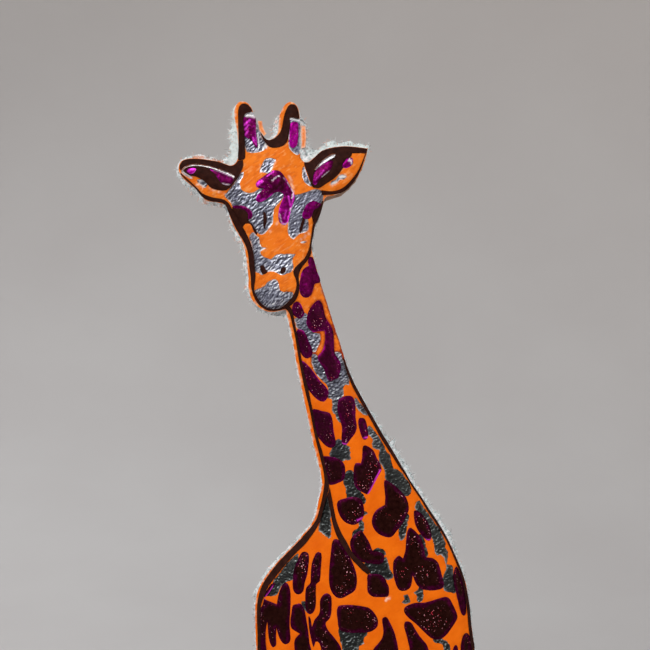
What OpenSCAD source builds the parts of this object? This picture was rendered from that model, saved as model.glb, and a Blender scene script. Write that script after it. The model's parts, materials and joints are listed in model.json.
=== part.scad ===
// Carved giraffe statue: two shaped boards on a plinth, faced with felt,
// silver foil, an orange skin with windows, purple foils and dark trim.
// Millimetres. X to the viewer's right, Y away from the viewer, Z up.
// Outlines are [x, z] points; a third value of 1 marks a sharp corner.

/* [Plinth] */
// Width of the plinth
plinth_w = 100; // [90:1:140]
// Depth of the plinth
plinth_d = 60; // [50:1:90]
// Height of the plinth's top above the table
plinth_top = 18; // [16:0.5:30]
// Width of the step round the plinth's top
plinth_step = 4; // [2:0.5:8]
// Corner radius of the plinth
plinth_corner = 8; // [4:0.5:14]
// Thickness of the felt pad under the plinth
pad_t = 1; // [0.8:0.1:3]

/* [Boards] */
// Thickness of the front board
front_t = 16; // [12:0.5:22]
// Thickness of the rear board
rear_t = 14; // [10:0.5:20]
// Distance from the boards' glue line to the middle of the plinth
glue_line = 3; // [0:0.5:6]
// Diameter of the dowels between the boards
dowel_d = 6; // [4:0.5:8]
// Length of those dowels
dowel_len = 20; // [12:1:24]
// Width of the tenon under each leg
tenon_w = 6; // [5:0.5:7]
// Depth of each tenon in the plinth
tenon_len = 10; // [6:0.5:12]
// Shank diameter of the leg screws
screw_d = 3; // [2.5:0.1:3.5]

/* [Facings] */
// Thickness of the white felt behind the facings
felt_t = 2.2; // [1:0.1:4]
// How far the felt stands out past the figure
felt_rim = 1.1; // [0.5:0.1:3]
// Radius of the felt in inside corners
felt_fill = 3; // [1:0.5:5]
// Thickness of the silver foil
foil_t = 0.3; // [0.2:0.1:0.8]
// Thickness of the orange skin
skin_t = 0.4; // [0.3:0.1:1.5]
// Thickness of the purple foils
purple_t = 0.4; // [0.2:0.1:0.6]
// Thickness of the dark trim
trim_t = 0.3; // [0.2:0.1:0.8]
// Width of the trim round the legs and belly
trim_w = 0.8; // [0.4:0.1:1.5]
// Straight steps between two outline points
arc_steps = 2; // [1:1:4]

/* [Hidden] */
front_face = glue_line - front_t;
felt_face = front_face - felt_t;
foil_face = felt_face - foil_t;
skin_face = foil_face - skin_t;
rear_back = glue_line + rear_t;
front_mid = glue_line - front_t / 2;
rear_mid = glue_line + rear_t / 2;
legs_front = [3, 21.6];
legs_rear = [-20.5, -8.4];
dowel_at = [[-8, 184], [10, 190], [2, 150]];
hoof_top = 27;
crop_top = 172.5;
gap = 0.1;
// How far the orange skin stands out on the left, as [height, width]
skin_rim = [
  [188, 0.3], [192, 0.5], [256, 0.6], [260, 0.7], [264, 0.5], [274, 0.4], [278, 0.3],
  [284, 0.1], [295, 0.1], [301, 0.2], [304, 0.7]
];

// ---- outline helpers ----
function xz(q) = [q[0], q[1]];
function near(p, i) = p[(i + len(p)) % len(p)];
function lean(p, i) = len(near(p, i)) > 2 ? [0, 0] : (xz(near(p, i + 1)) - xz(near(p, i - 1))) / 2;
function bow(a, b, u, v, t) =
  a * (2 * t * t * t - 3 * t * t + 1) + u * (t * t * t - 2 * t * t + t)
  + b * (3 * t * t - 2 * t * t * t) + v * (t * t * t - t * t);
// Closed smooth outline through the points
function smooth(p) = [
  for (i = [0 : len(p) - 1]) for (k = [0 : arc_steps - 1])
    bow(xz(near(p, i)), xz(near(p, i + 1)), lean(p, i), lean(p, i + 1), k / arc_steps)
];
function held(p, i) = p[min(max(i, 0), len(p) - 1)];
function slope(p, i) = (held(p, i + 1) - held(p, i - 1)) / 2;
// Open smooth path through [x, z, width] points
function run(p) = concat([
  for (i = [0 : len(p) - 2]) for (k = [0 : arc_steps - 1])
    bow(p[i], p[i + 1], slope(p, i), slope(p, i + 1), k / arc_steps)
], [p[len(p) - 1]]);
function bank(r, s) = [
  for (i = [0 : len(r) - 1])
    let (d = slope(r, i)) xz(r[i]) + [-d[1], d[0]] / norm([d[0], d[1]]) * r[i][2] / 2 * s
];
function flip(v) = [for (i = [len(v) - 1 : -1 : 0]) v[i]];
// Brush stroke along a path, as wide as each point says
function stroke(p) = let (r = run(p)) concat(bank(r, 1), flip(bank(r, -1)));
function put(q, x) = len(q) > 2 ? [x, q[1], 1] : [x, q[1]];
// Leg outline, down its right side and up its left side
function leg(cx, half) = concat(
  [for (q = half) put(q, cx + q[0])],
  [for (q = flip(half)) put(q, cx - q[0])]
);
function moved(p, cx) = [for (q = p) [cx + q[0], q[1]]];
// Outline with its upper left edges moved outward, most where they face left
function reach(q) = q[0] > -14 && q[1] > 280 ? 0 : lookup(q[1], skin_rim);
function spread(p) = [
  for (i = [0 : len(p) - 1])
    let (t = xz(near(p, i + 1)) - xz(near(p, i - 1)), n = [-t[1], t[0]] / norm(t),
         q = xz(p[i]) + n * reach(p[i]) * max(0, 0.35 - n[0]))
      len(p[i]) > 2 ? p[i] : q
];

module shape(p) {
  polygon(smooth(p));
}

// Upright sheet: back face at y_back, thickness t towards the viewer
module sheet(y_back, t) {
  translate([0, y_back, 0]) rotate([90, 0, 0]) linear_extrude(t) children();
}

// Flat area from z = low to z = high, as wide as the statue
module band(low, high) {
  translate([-60, low]) square([120, high - low]);
}

// ---- silhouette, clockwise as seen from the front ----
crown_pts = [
  [-30.3, 298], [-30.3, 302], [-30.5, 306], [-30.5, 308], [-29.9, 309.2], [-28.9, 309.6],
  [-27.8, 309.1], [-27, 307.8], [-26.4, 305.6], [-25.9, 303.4], [-25, 301.8], [-24.2, 300.8],
  [-23, 300.2], [-21.8, 300.5], [-20.8, 301.2], [-20, 302.4], [-19.5, 304.4], [-19.1, 306.6],
  [-18.3, 308.4], [-17.3, 309.4], [-16.2, 309.2], [-15.4, 307.9], [-15.1, 305.6],
  [-15.1, 302.6], [-15.3, 300], [-15.2, 297.6], [-14.8, 295.6], [-13.9, 294.7],
  [-12.8, 294.8], [-11, 296.3], [-9.6, 297.5], [-7.2, 298.3], [-3.8, 298.7], [-1, 298.5],
  [2, 298.1, 1], [1.7, 296.6], [1.3, 295], [0.5, 293], [-0.6, 290.9], [-2.3, 288.8],
  [-4.4, 287.2], [-6.6, 286.3], [-8.2, 286], [-9, 285.2], [-9.4, 283.6], [-10.2, 281.2],
  [-11.1, 279], [-11.7, 276.8], [-12.1, 274.4], [-12, 272.2]
];
right_pts = [
  [-11.4, 269.8], [-10.9, 268], [-10, 264.8], [-9, 261.6], [-7.9, 258.2], [-6.6, 254],
  [-5.2, 249.8], [-4.4, 247.2], [-3.4, 244], [-2.3, 241], [-1.2, 238], [0.5, 235],
  [2.4, 231.6], [4.2, 228.4], [6.2, 225], [7.8, 222.4], [9.3, 220], [11.1, 217.2],
  [12.6, 214.6], [14.3, 212.1], [16, 209.7], [17.6, 207.1], [19.4, 204.5], [20.9, 202.1],
  [22.6, 199], [24.2, 195.4], [25.3, 192.8], [26.1, 190.6], [26.9, 187.5], [27.4, 184],
  [27.8, 181], [28.1, 178], [28.5, 175.2], [28.9, 171.6], [29.4, 165], [29.6, 158],
  [29.4, 150], [28.8, 141], [27.8, 133], [27, 126]
];
crotch_pts = [[15.4, 125.8], [12.3, 128.6], [9.2, 125.8]];
left_pts = [
  [-3.2, 125.6], [-7.4, 129], [-14, 131], [-20, 132.8], [-24, 136.4], [-25.6, 141],
  [-26, 148], [-26.1, 156], [-25.9, 165], [-25.7, 172.5], [-25.9, 178.8], [-25.9, 183],
  [-25.5, 186], [-24.7, 188], [-23.4, 190.2], [-21.7, 192.2], [-19.6, 194.6], [-17.4, 196.9],
  [-14.8, 199.6], [-12.6, 202.2], [-11, 204.4], [-10.2, 207], [-9.6, 209.8], [-9.1, 212],
  [-8.8, 214], [-9, 216], [-9.6, 218.6], [-10.3, 221.4], [-11.1, 224.6], [-11.8, 228],
  [-12.5, 231.6], [-13.2, 234.8], [-13.8, 237.6], [-14.5, 241], [-15.2, 244.4],
  [-15.7, 247.6], [-16.3, 251], [-17, 254.2], [-17.7, 256.8], [-18.6, 258], [-20.6, 257.3],
  [-22.3, 257.4], [-24, 258], [-25.4, 259.2], [-26.4, 260.6], [-27, 262], [-27.3, 263.4],
  [-27.3, 265], [-27.5, 267], [-27.8, 269.4], [-28.1, 271.4], [-28.6, 273.8], [-29.5, 275.6],
  [-30.6, 277.4], [-31.5, 279], [-32.4, 281], [-33, 282.8], [-33.8, 284], [-36, 284.6],
  [-38.4, 285], [-39.3, 285.8], [-40.2, 287.2], [-42, 288.7], [-43.8, 290.2], [-45, 291.6],
  [-45.4, 293], [-45.1, 294.4], [-43.8, 295.4], [-41, 295.6], [-37.6, 295.2], [-35, 294.7],
  [-33, 293.9], [-31.6, 294], [-30.6, 295.4]
];
foreleg_half = [
  [4.7, 118], [4.1, 105], [3.6, 92], [3.9, 83], [3.7, 76], [3.1, 68], [2.8, 54], [2.8, 41],
  [3.3, 33], [4, 26], [4.4, 18, 1]
];
rump_pts = [
  [-24.8, 150], [-24.7, 162], [-24.5, 174], [-24, 182], [-21.6, 187.6], [-16, 193.6],
  [-9, 198.6], [-2, 203], [5, 205.4], [12, 204], [18, 197.6], [22.6, 189], [25.2, 178],
  [26.4, 166], [26.2, 152], [24.4, 141], [17, 134.4], [6, 132], [0, 129], [-2.6, 121]
];
hindleg_half = [
  [5, 112], [4.4, 105], [3.5, 96], [3.3, 86], [3.7, 78], [3.1, 68], [2.8, 54], [2.8, 41],
  [3.3, 33], [4, 26], [4.4, 18, 1]
];
tenon_half = [[tenon_w / 2, plinth_top, 1], [tenon_w / 2, plinth_top - tenon_len, 1]];

function front_figure(foot) = concat(
  crown_pts, right_pts, leg(legs_front[1], concat(foreleg_half, foot)), crotch_pts,
  leg(legs_front[0], concat(foreleg_half, foot)), left_pts
);
function rear_figure(foot) = concat(
  rump_pts, leg(legs_rear[1], concat(hindleg_half, foot)), [[-14.4, 117.6]],
  leg(legs_rear[0], concat(hindleg_half, foot)), [[-26, 122], [-25.4, 134], [-24.9, 142]]
);

module front_outline() {
  shape(front_figure([]));
}

module rear_outline() {
  shape(rear_figure([]));
}

// ---- silver windows ----
forehead_win = [
  [-23.8, 295.2], [-22.6, 295.6], [-21, 295.1], [-21.5, 294.2], [-22.2, 292.3], [-22.9, 291.6],
  [-24.4, 291.9], [-25.2, 292], [-24.6, 293.7]
];
horn_left_win = [
  [-29.9, 305.2], [-29.4, 307], [-27.3, 307.4], [-26.2, 306.6], [-25.9, 304.9], [-25.6, 303.4],
  [-25.2, 302.3], [-24.4, 300.6], [-23.5, 299.6], [-23.4, 298.3], [-25, 297.1], [-28.3, 297.1],
  [-29.2, 300], [-29.6, 303]
];
horn_right_win = [
  [-17.7, 304], [-17.6, 305.9], [-16.2, 305.9], [-14.8, 305.4], [-14.8, 303], [-14.9, 300.4],
  [-14.9, 297.6], [-15.6, 296.4], [-17, 297.2], [-17.8, 298.4], [-17.9, 300.4]
];
temple_left_win = [
  [-34, 286.2], [-33.5, 286.8], [-32.5, 288], [-31.4, 289.4], [-30.3, 291.4], [-29.2, 292.2],
  [-29.3, 290.8], [-30, 289.5], [-29.6, 287.6], [-27.8, 286.8], [-26.3, 287.1], [-25.3, 287.8], [-24, 288.2], [-21, 288],
  [-18.8, 287.2], [-19.2, 285.6], [-20.4, 284], [-21.3, 283], [-21.7, 281], [-21.8, 279.2],
  [-22.8, 277.8], [-23.9, 276.6], [-25, 276.4], [-26.4, 277.6], [-27.7, 279.3], [-28.5, 280.8],
  [-29.1, 282.6], [-31.6, 283], [-32.3, 284.2], [-33.2, 285.2]
];
temple_right_win = [
  [-16.9, 287], [-16.2, 286.3], [-13.8, 286.9], [-12.7, 287.3], [-11.3, 287.8], [-9.8, 287.5],
  [-9.2, 286.6], [-9.2, 285.2], [-9.6, 284.2], [-11.4, 284], [-13, 282], [-13.2, 280.6],
  [-12.9, 279.8], [-12.9, 277.6], [-13.8, 276.9], [-15, 276.6], [-15.8, 275.9], [-16.6, 275.2],
  [-17.4, 275.7], [-18, 276.8], [-18, 278.8], [-17.9, 280.1], [-17.8, 282.4], [-17.4, 284.4]
];
cheek_win = [
  [-27.6, 276.4], [-26.7, 277], [-25.9, 276.2], [-25.2, 275.6], [-25.1, 274.4], [-24.6, 273.3],
  [-23.4, 273], [-24.9, 272.1], [-24.4, 271.1], [-22.9, 270.4], [-22.2, 270.3], [-21, 271.3],
  [-19.6, 271.5], [-16, 271.5, 1], [-16.8, 270.3], [-16.6, 268.5], [-16.9, 267.3],
  [-18.3, 266.5], [-19.6, 266.2], [-21.4, 267], [-23, 267], [-24.4, 266.2], [-25.2, 266.7],
  [-26.6, 267.4], [-26.8, 269.6], [-27, 272], [-27.3, 274], [-27.7, 275.4]
];
muzzle_win = [
  [-21.7, 265.1], [-20.8, 264.9], [-20.3, 264], [-19.9, 262.5], [-18.8, 262], [-16.9, 261.9],
  [-16.9, 260.7], [-18.3, 259.1], [-20.2, 257.6], [-22.6, 257.4], [-24.7, 258.3], [-25.9, 259.5],
  [-26.6, 261.2], [-26.3, 262.5], [-25, 263], [-24, 263.4], [-23.2, 264.4]
];
ear_left_line_win = [
  [-44.9, 292.5], [-44, 293.5], [-42, 294.1], [-40, 294.1], [-37.4, 293.6], [-34.9, 292.8],
  [-32.4, 291.8], [-31.3, 290.9], [-31.7, 290.6], [-32.6, 291.3], [-35.1, 292.3], [-37.6, 293.1],
  [-40, 293.6], [-42, 293.6], [-43.5, 293.2], [-44.3, 292.5], [-43.6, 291.8], [-42.1, 290.9],
  [-42.3, 290.4], [-43.9, 291.2], [-44.7, 291.9]
];
ear_left_patch_win = [
  [-40.9, 290.2], [-39.4, 290.2], [-38.2, 289.4], [-38.7, 288.2], [-39.6, 288.4], [-40.4, 289.2]
];
ear_right_line_win = [
  [-11.5, 292.6], [-10.2, 294.3], [-8.6, 295.7], [-7.1, 296.6], [-6, 296.7], [-6.6, 295.7],
  [-8, 294.9], [-9.4, 293.9], [-10.6, 292.9]
];
ear_right_marks_win = [
  [-5.3, 291.1], [-4.5, 291.5], [-3.3, 291], [-4, 290.3], [-5, 290.1], [-6, 289.2], [-7.2, 288.8],
  [-7.1, 289.7], [-6, 290.2]
];
ear_right_base_win = [
  [-14.1, 293.7], [-13.5, 292.1], [-12.7, 290.1], [-11.9, 288.5], [-13, 288.7], [-14.1, 289.9],
  [-14.5, 291.7]
];
jaw_mark_win = [
  [-14.9, 274.4], [-14.4, 274.8], [-13.7, 274.8], [-13.3, 274.6], [-13.8, 274.3], [-14.4, 274.2]
];
neck_wins = [
  [
    [-16.4, 255.4], [-14.9, 255.8], [-13.9, 256.8], [-13, 256], [-12.6, 253], [-11.7, 251.9],
    [-10.2, 251.6], [-9.9, 249.9], [-10.4, 248.4], [-11.2, 246.9], [-12.4, 247.6], [-13.4, 250.4],
    [-14, 252], [-15.8, 252.9], [-16.2, 254.2]
  ],
  [
    [-12, 246.4], [-11.2, 246.4], [-10, 245], [-8.2, 241.4], [-6.6, 240.8], [-5.2, 242],
    [-5.2, 244.6], [-6.2, 246.2], [-6.2, 247], [-5.1, 247], [-4.2, 245], [-3.3, 242.4],
    [-2.7, 240.4], [-2.6, 238.9], [-3.7, 238.6], [-4.1, 237.7], [-4, 236.2], [-5, 235],
    [-5.2, 232], [-4.6, 229.4], [-5.6, 229.8], [-6.3, 231.6], [-7, 232.2], [-7, 235],
    [-8, 235.4], [-8, 238], [-9, 239.4], [-10.6, 241], [-11.8, 243], [-12.1, 245]
  ],
  [
    [-1.3, 235.6], [-0.1, 234.5], [0.8, 233.3], [1.8, 231.6], [1.9, 230.9], [0.5, 231.6],
    [-0.7, 232.8], [-1.2, 234.2]
  ],
  [
    [-6, 225], [-4.6, 225], [-3.2, 223.6], [-2.6, 223.2], [-2.4, 221.6], [-2.5, 220],
    [-3.8, 219.8], [-5, 219.6], [-7.5, 220.6], [-7.4, 222.2], [-6.4, 224]
  ],
  [
    [-3.4, 217.2], [-1.9, 217.4], [-1, 215], [-0.6, 213.4], [0.4, 211.8], [1.3, 210.8],
    [1.4, 209.6], [0.6, 208.8], [-1.4, 209.8], [-3.3, 210.4], [-3.6, 213], [-4.2, 214.8],
    [-3.8, 216.2]
  ]
];
shoulder_wins = [
  [
    [2, 228.3], [2.6, 228.6], [3.4, 227.6], [4.4, 226], [5.3, 224.8], [6, 223.4], [7, 221.6],
    [7.8, 220.6], [8, 219], [8.5, 217.8], [9.6, 217.5], [11, 216], [12.1, 214.5],
    [12.9, 212.8], [12.7, 211.5], [11.8, 210.9], [10, 211], [8, 213], [6.5, 214.6],
    [6.2, 216.9], [5.6, 218.4], [4.8, 219.6], [4.8, 221.4], [4.9, 222.5], [3.3, 222.9],
    [3.1, 223.8], [3.1, 225.2], [2, 226.4], [1.8, 227.4]
  ],
  [
    [13.8, 208.4], [14.2, 209.5], [15, 209.7], [16, 208.2], [17.6, 205.8], [19.6, 203],
    [20.7, 201], [21.5, 199.2], [21.4, 198], [22, 196.8], [22.1, 195.4], [21.8, 194],
    [22.8, 193.6], [23.4, 192.6], [23.4, 190.4], [24.1, 186.9], [23, 186.7], [21, 187.4],
    [20.6, 190], [21, 191.2], [21.6, 192.8], [21.2, 194.8], [20.4, 196.2], [19.4, 196],
    [18.7, 197], [18.3, 199.5], [17.4, 202], [16, 205], [14.2, 207]
  ],
  [
    [11.4, 206.6], [12.3, 206.2], [12.3, 205.3], [11.9, 204.4], [11.7, 202.8], [11.4, 201.2],
    [11, 200.3], [10.2, 200], [9.8, 200.8], [9.6, 202.2], [10, 204]
  ],
  [
    [14.6, 201.4], [15.6, 201], [16.2, 199.8], [16.5, 198.4], [17, 196.8], [16.9, 195.9],
    [15.6, 195.4], [15, 198]
  ],
  [
    [0.1, 205.2], [1, 204.4], [1, 202.6], [0.4, 201.8], [-1, 201.4], [-2, 200.8],
    [-1.6, 202.2], [-0.4, 203.1], [-0.4, 204.4]
  ],
  [[0.4, 207.4], [2, 206.8], [0.6, 206]],
  [
    [-8.4, 211], [-7.9, 210.2], [-7.5, 208], [-7.3, 205], [-7.2, 202], [-7.2, 200.9],
    [-7.9, 200.4], [-9, 201.3], [-10.3, 202.1], [-10.1, 204.5], [-9.7, 207.2], [-9, 209.6]
  ],
  [
    [3.1, 197.4], [4, 198], [5.2, 198], [6.2, 197.3], [6.5, 196.4], [5, 196], [3.4, 196.4]
  ],
  [
    [1.2, 194.6], [3.4, 194.8], [5.6, 195.2], [6.4, 196], [7, 194.6], [7.5, 192.8],
    [8.2, 191.6], [8.2, 190.7], [6.9, 190.1], [5.8, 190.9], [4.2, 191.3], [2.4, 191.8],
    [1, 192.9]
  ]
];
chest_wins = [
  [
    [10.3, 184.6], [11, 185.4], [10.8, 186.4], [11.8, 186.6], [12.3, 185.8], [12.5, 184.6],
    [11.4, 184.3]
  ],
  [
    [13.3, 187.1], [14.3, 187.5], [14.8, 188.6], [15.7, 187.8], [15.9, 186.2], [15.4, 184.8],
    [14.4, 184.6], [14.2, 185.8]
  ],
  [
    [-5.3, 178.4], [-4.4, 177.9], [1.2, 177.9], [1.7, 176.6], [0.9, 175.6], [1, 174.3],
    [-0.2, 173.7], [-0.8, 172], [-2.4, 170.8], [-4.2, 171.6], [-4.6, 174], [-5.3, 176.6]
  ],
  [
    [18.1, 175.2], [19.6, 175.8], [21.4, 174.9], [22.2, 174.2], [22.4, 172], [21.8, 170.4],
    [20.8, 171.2], [20.8, 173.8], [19.2, 174.2]
  ],
  [
    [-15.4, 196.4], [-15.6, 194], [-16.2, 191.4], [-16.8, 190], [-18.3, 189.5], [-19.5, 188.6],
    [-20.2, 187.3], [-20.6, 186.5], [-21.8, 185.8], [-23, 185.8], [-23.4, 186], [-22, 188.6],
    [-21.6, 189.8], [-20, 191.8], [-17.8, 194.5], [-16.2, 196.1]
  ],
  [
    [-14.7, 184.4], [-13.9, 184.9], [-13, 184], [-12.7, 182.2], [-13.2, 181.9], [-14.2, 183.3]
  ]
];
belly_wins = [
  [[-18, 160], [-16.6, 161], [-16, 157], [-16.6, 152.6], [-18.4, 153.4], [-18.8, 157]],
  [[0.9, 157], [2.6, 158], [3, 154], [2.2, 149.6], [0.2, 150], [0, 154]],
  [[20.6, 160], [22, 160.6], [22.4, 156], [21.6, 153], [20.4, 156]],
  [[-0.8, 141], [1.2, 142], [2.4, 138.6], [1, 135.4], [-1.6, 136.6]],
  [[-9.4, 144], [-8.4, 146.4], [-7.4, 143], [-8, 140.6], [-9.6, 141]]
];

module silver_windows() {
  shape(forehead_win);
  shape(horn_left_win);
  shape(horn_right_win);
  shape(temple_left_win);
  shape(temple_right_win);
  shape(cheek_win);
  shape(muzzle_win);
  shape(ear_left_line_win);
  shape(ear_left_patch_win);
  shape(ear_right_line_win);
  shape(ear_right_marks_win);
  shape(ear_right_base_win);
  shape(jaw_mark_win);
  for (p = neck_wins) shape(p);
  for (p = shoulder_wins) shape(p);
  for (p = chest_wins) shape(p);
  for (p = belly_wins) shape(p);
}

// ---- purple foils ----
horn_left_sleeve_pts = [
  [-29.5, 305.4], [-28.4, 306], [-27.2, 306.2], [-26.2, 306.1], [-26.1, 304.4], [-26.1, 302.7],
  [-25.9, 300.6], [-25.6, 298.3], [-26.3, 298.5], [-27.4, 300.2], [-28.9, 301], [-29.3, 302.7]
];
horn_right_sleeve_pts = [
  [-17.6, 304], [-16.8, 304.7], [-15.6, 304.6], [-15.4, 303], [-15.5, 300.4], [-15.8, 298.9],
  [-16.7, 298.1], [-17.5, 298.6], [-17.7, 299.9], [-17.6, 302.3]
];
ear_left_tip_pts = [
  [-43.5, 292.4], [-43, 293], [-41.8, 293.2], [-41, 292.9], [-41.4, 292], [-42.3, 291.5],
  [-43.1, 291.9]
];
ear_left_inner_pts = [
  [-37.8, 293], [-35.8, 292.5], [-33.4, 291.7], [-31.6, 290.7], [-31.8, 289.6], [-32.7, 288.7],
  [-34.5, 289.1], [-35.9, 290.9], [-36.9, 292.1]
];
ear_right_inner_pts = [
  [-11.4, 292.1], [-9.9, 293.7], [-7.9, 294.9], [-6.7, 294.8], [-7.2, 292.8], [-8.5, 291.5],
  [-10.1, 290.1], [-11, 288.8], [-11.8, 289.2], [-11.7, 290.6]
];
ear_right_tip_pts = [
  [-4.5, 293.5], [-4, 294.7], [-3.1, 295.6], [-1.9, 295.6], [-1.8, 294.1], [-2.7, 293.3],
  [-3.7, 293]
];
blaze_pts = [
  [-21.3, 292.4], [-19.9, 292.1], [-18.7, 290.6], [-17.5, 288.7], [-16.9, 287.5], [-16.3, 286],
  [-16.4, 284.8], [-16.9, 283.7], [-17.4, 281.9], [-17.8, 280.1], [-18.3, 279], [-19, 278.7],
  [-20, 279.3], [-20.4, 280.6], [-20.3, 282.1], [-20, 283.5], [-19.4, 285], [-19.1, 286],
  [-19.6, 286.9], [-21, 286.9], [-22.1, 286.2], [-23.2, 285.3], [-24.4, 284.6], [-25.6, 284.5],
  [-26, 285], [-25.9, 285.8], [-25, 286.9], [-24, 287.8, 1], [-25.4, 288], [-26, 288.6],
  [-25.8, 289.5], [-24.2, 290.8], [-22.6, 291.9]
];
eyelid_left_pts = [
  [-31.9, 283.6], [-30.2, 283.7], [-28.8, 283.4], [-27.6, 282.7], [-26.9, 281.5], [-27.2, 280.3],
  [-28, 280.4], [-27.9, 281.4], [-28.6, 282.3], [-30, 282.9], [-31.4, 283]
];
eyelid_right_pts = [
  [-12.4, 284.6], [-11.6, 284.9], [-10.3, 284.4], [-9.6, 284], [-10.4, 283.2], [-11.6, 282.4],
  [-12.1, 281], [-12.9, 280.3], [-14, 280.4], [-14.5, 281.2], [-14.1, 282.4], [-13.4, 283.7]
];
jaw_pts = [
  [-12.7, 270.7], [-11.9, 270.8], [-11.3, 269.4], [-10.8, 267.4], [-10, 265.4], [-10.1, 264.4],
  [-11.3, 264.1], [-11.7, 262.8], [-12.2, 261.4], [-13.1, 260.6], [-14.3, 260.8], [-15, 261.8],
  [-15.1, 263.4], [-14.9, 265.5], [-14.4, 267.3], [-13.6, 268.2], [-12.8, 268.6], [-13, 269.4]
];
throat_pts = [
  [-15.9, 259.6], [-14.9, 259.1], [-14.3, 257.8], [-13.9, 256.8], [-14.2, 256], [-15, 255.3],
  [-15.8, 255.6], [-16.6, 256.2], [-17, 257.4], [-16.8, 258.8]
];
neck_long_pts = [
  [-10.9, 259.7], [-10.1, 259.9], [-9.4, 258.9], [-9, 257.3], [-8.7, 255.9], [-7.9, 254.5],
  [-7, 253.1], [-6.6, 251.2], [-6.5, 248.7], [-6.3, 246.8], [-5.1, 244.8], [-4.7, 243.2],
  [-5, 241.8], [-5.4, 240.5], [-6.2, 240.2], [-7.3, 239.6], [-8.1, 240.2], [-8.6, 241.5],
  [-9.3, 243.2], [-10.4, 244.8], [-10.5, 245.9], [-9.5, 247.1], [-9, 248.4], [-8.7, 250.4],
  [-8.8, 252.3, 1], [-10.4, 252.2], [-11.7, 252], [-12.8, 252.8], [-13.4, 254.2], [-13.2, 256.1],
  [-12.7, 257.5], [-11.7, 258.9]
];
neck_upper_pts = [
  [-15.6, 252.7], [-14.2, 252.3], [-13.4, 251.2], [-12.7, 249.3], [-12, 247.9], [-12, 246.2],
  [-13.1, 245.4], [-14.1, 245.7], [-15, 247.1], [-15.6, 249.3], [-15.9, 251.5]
];
neck_middle_pts = [
  [-14.8, 244.8], [-13.4, 244], [-11.7, 242.1], [-10.1, 239.9], [-8.7, 238.5], [-7.9, 237.1],
  [-8, 235.8], [-9, 234.6], [-10.4, 234.9], [-11.7, 236], [-12.8, 237.4], [-13.7, 239.3],
  [-14.2, 241.5], [-14.8, 243.2]
];
neck_lower_pts = [
  [-11.6, 232.7], [-9.5, 232.2], [-7.6, 231.7], [-6.9, 230], [-6.6, 227.3], [-6.1, 224.7],
  [-6.3, 223.4], [-7.4, 223], [-8.7, 223.6], [-10, 225], [-11, 226.5], [-11.7, 229.4],
  [-12, 231.5]
];
neck_front_pts = [
  [-3.5, 236], [-2.1, 235.9], [-1.4, 235], [-1.1, 233.4], [-1.1, 230.7], [-0.8, 228.4],
  [-1.2, 226.8], [-2.4, 225.2], [-3.1, 224.2], [-3.7, 223.8], [-4.5, 224.2], [-4.6, 226],
  [-4.5, 228.1], [-5.2, 230.7], [-5.7, 232.8], [-5.4, 234.8], [-4.6, 235.6]
];
neck_small_pts = [
  [-0.3, 230.3], [0.5, 230.5], [1.3, 230.1], [1.8, 228.4], [2.1, 226.3], [1.6, 225.2],
  [0.8, 225.2], [0.1, 226.8], [-0.4, 228.9]
];
nape_pts = [
  [-9.5, 220.8], [-6.9, 220.7], [-5.3, 220.2], [-4.1, 219.2], [-3.7, 217.6], [-4, 215.2],
  [-5.3, 214.3], [-6.9, 213.7], [-7.9, 213.9], [-8.5, 215.5], [-9.1, 217.6], [-9.7, 219.7]
];
diamond_pts = [
  [0.8, 223.5], [1.8, 223.5], [3.4, 222.3], [4.2, 220.5], [5, 219.2], [5.4, 217.6],
  [4.7, 216.3], [3.4, 213.9], [2.1, 211.6], [1, 211.8], [-0.8, 212.9], [-1.6, 214.7],
  [-1.6, 217.6], [-1.1, 219.2], [0.2, 219.2, 1], [0.5, 220.4], [0.6, 222.1]
];
round_pts = [
  [-5.5, 209.7], [-3.7, 210.4], [-1.9, 210.8], [0, 210.4], [0.8, 208.9], [1, 206.8],
  [0.5, 205.3], [-0.8, 204.1], [-2.1, 203.9], [-3.7, 204.5], [-5, 206], [-5.7, 208.1]
];
comma_pts = [
  [6.1, 214.9], [7.2, 214.6], [8.9, 213.4], [11, 211.3], [11.9, 209.7], [12.2, 207.6],
  [11.5, 206], [10.5, 203.9], [9.2, 202.4], [7.9, 200.9], [6.3, 200.9], [4.4, 201.8],
  [3.1, 203.7], [3.1, 205.8], [4.2, 207.6], [6.2, 208.8, 1], [6.3, 210.8], [6.1, 212.9]
];
edge_pts = [
  [13.5, 207.1], [14.2, 207.3], [15.4, 206.5], [16.7, 204.9], [17.6, 203], [17.9, 200.8],
  [17.4, 199.8], [16.5, 200.1], [15.2, 201.4], [14.1, 203.2], [13.6, 204.9]
];
drop_pts = [
  [-6.1, 200.3], [-5, 199.8], [-3.9, 198.6], [-2.7, 196.2], [-1.8, 194.3], [-1, 192],
  [-0.8, 189.8], [-1.3, 187.7], [-3, 186.5], [-4.7, 185.7], [-6, 186], [-7.1, 187.3],
  [-7.7, 189.4], [-7.7, 192.6], [-7.3, 196.8], [-6.9, 199.6]
];
shoulder_pts = [
  [0.2, 202.4], [1, 201.6], [2.3, 199.5], [2.9, 197.9], [3.3, 197.4], [5, 197.1], [6, 196.3],
  [5.9, 195], [5, 194.1], [3.3, 194.2], [1.2, 194.5], [-0.6, 195.2], [-2, 197.2], [-2.5, 199.2],
  [-2.1, 200.6], [-1.1, 201.7]
];
block_pts = [
  [1.9, 191.5], [3.5, 191.7], [5, 191.5], [6.3, 190.5], [6.6, 189.6], [7.1, 188.6],
  [7.2, 187.1], [6.8, 186.1], [5, 186], [3.3, 186.1], [2.2, 186.8], [1.8, 187.9], [1.8, 189.8]
];
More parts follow.
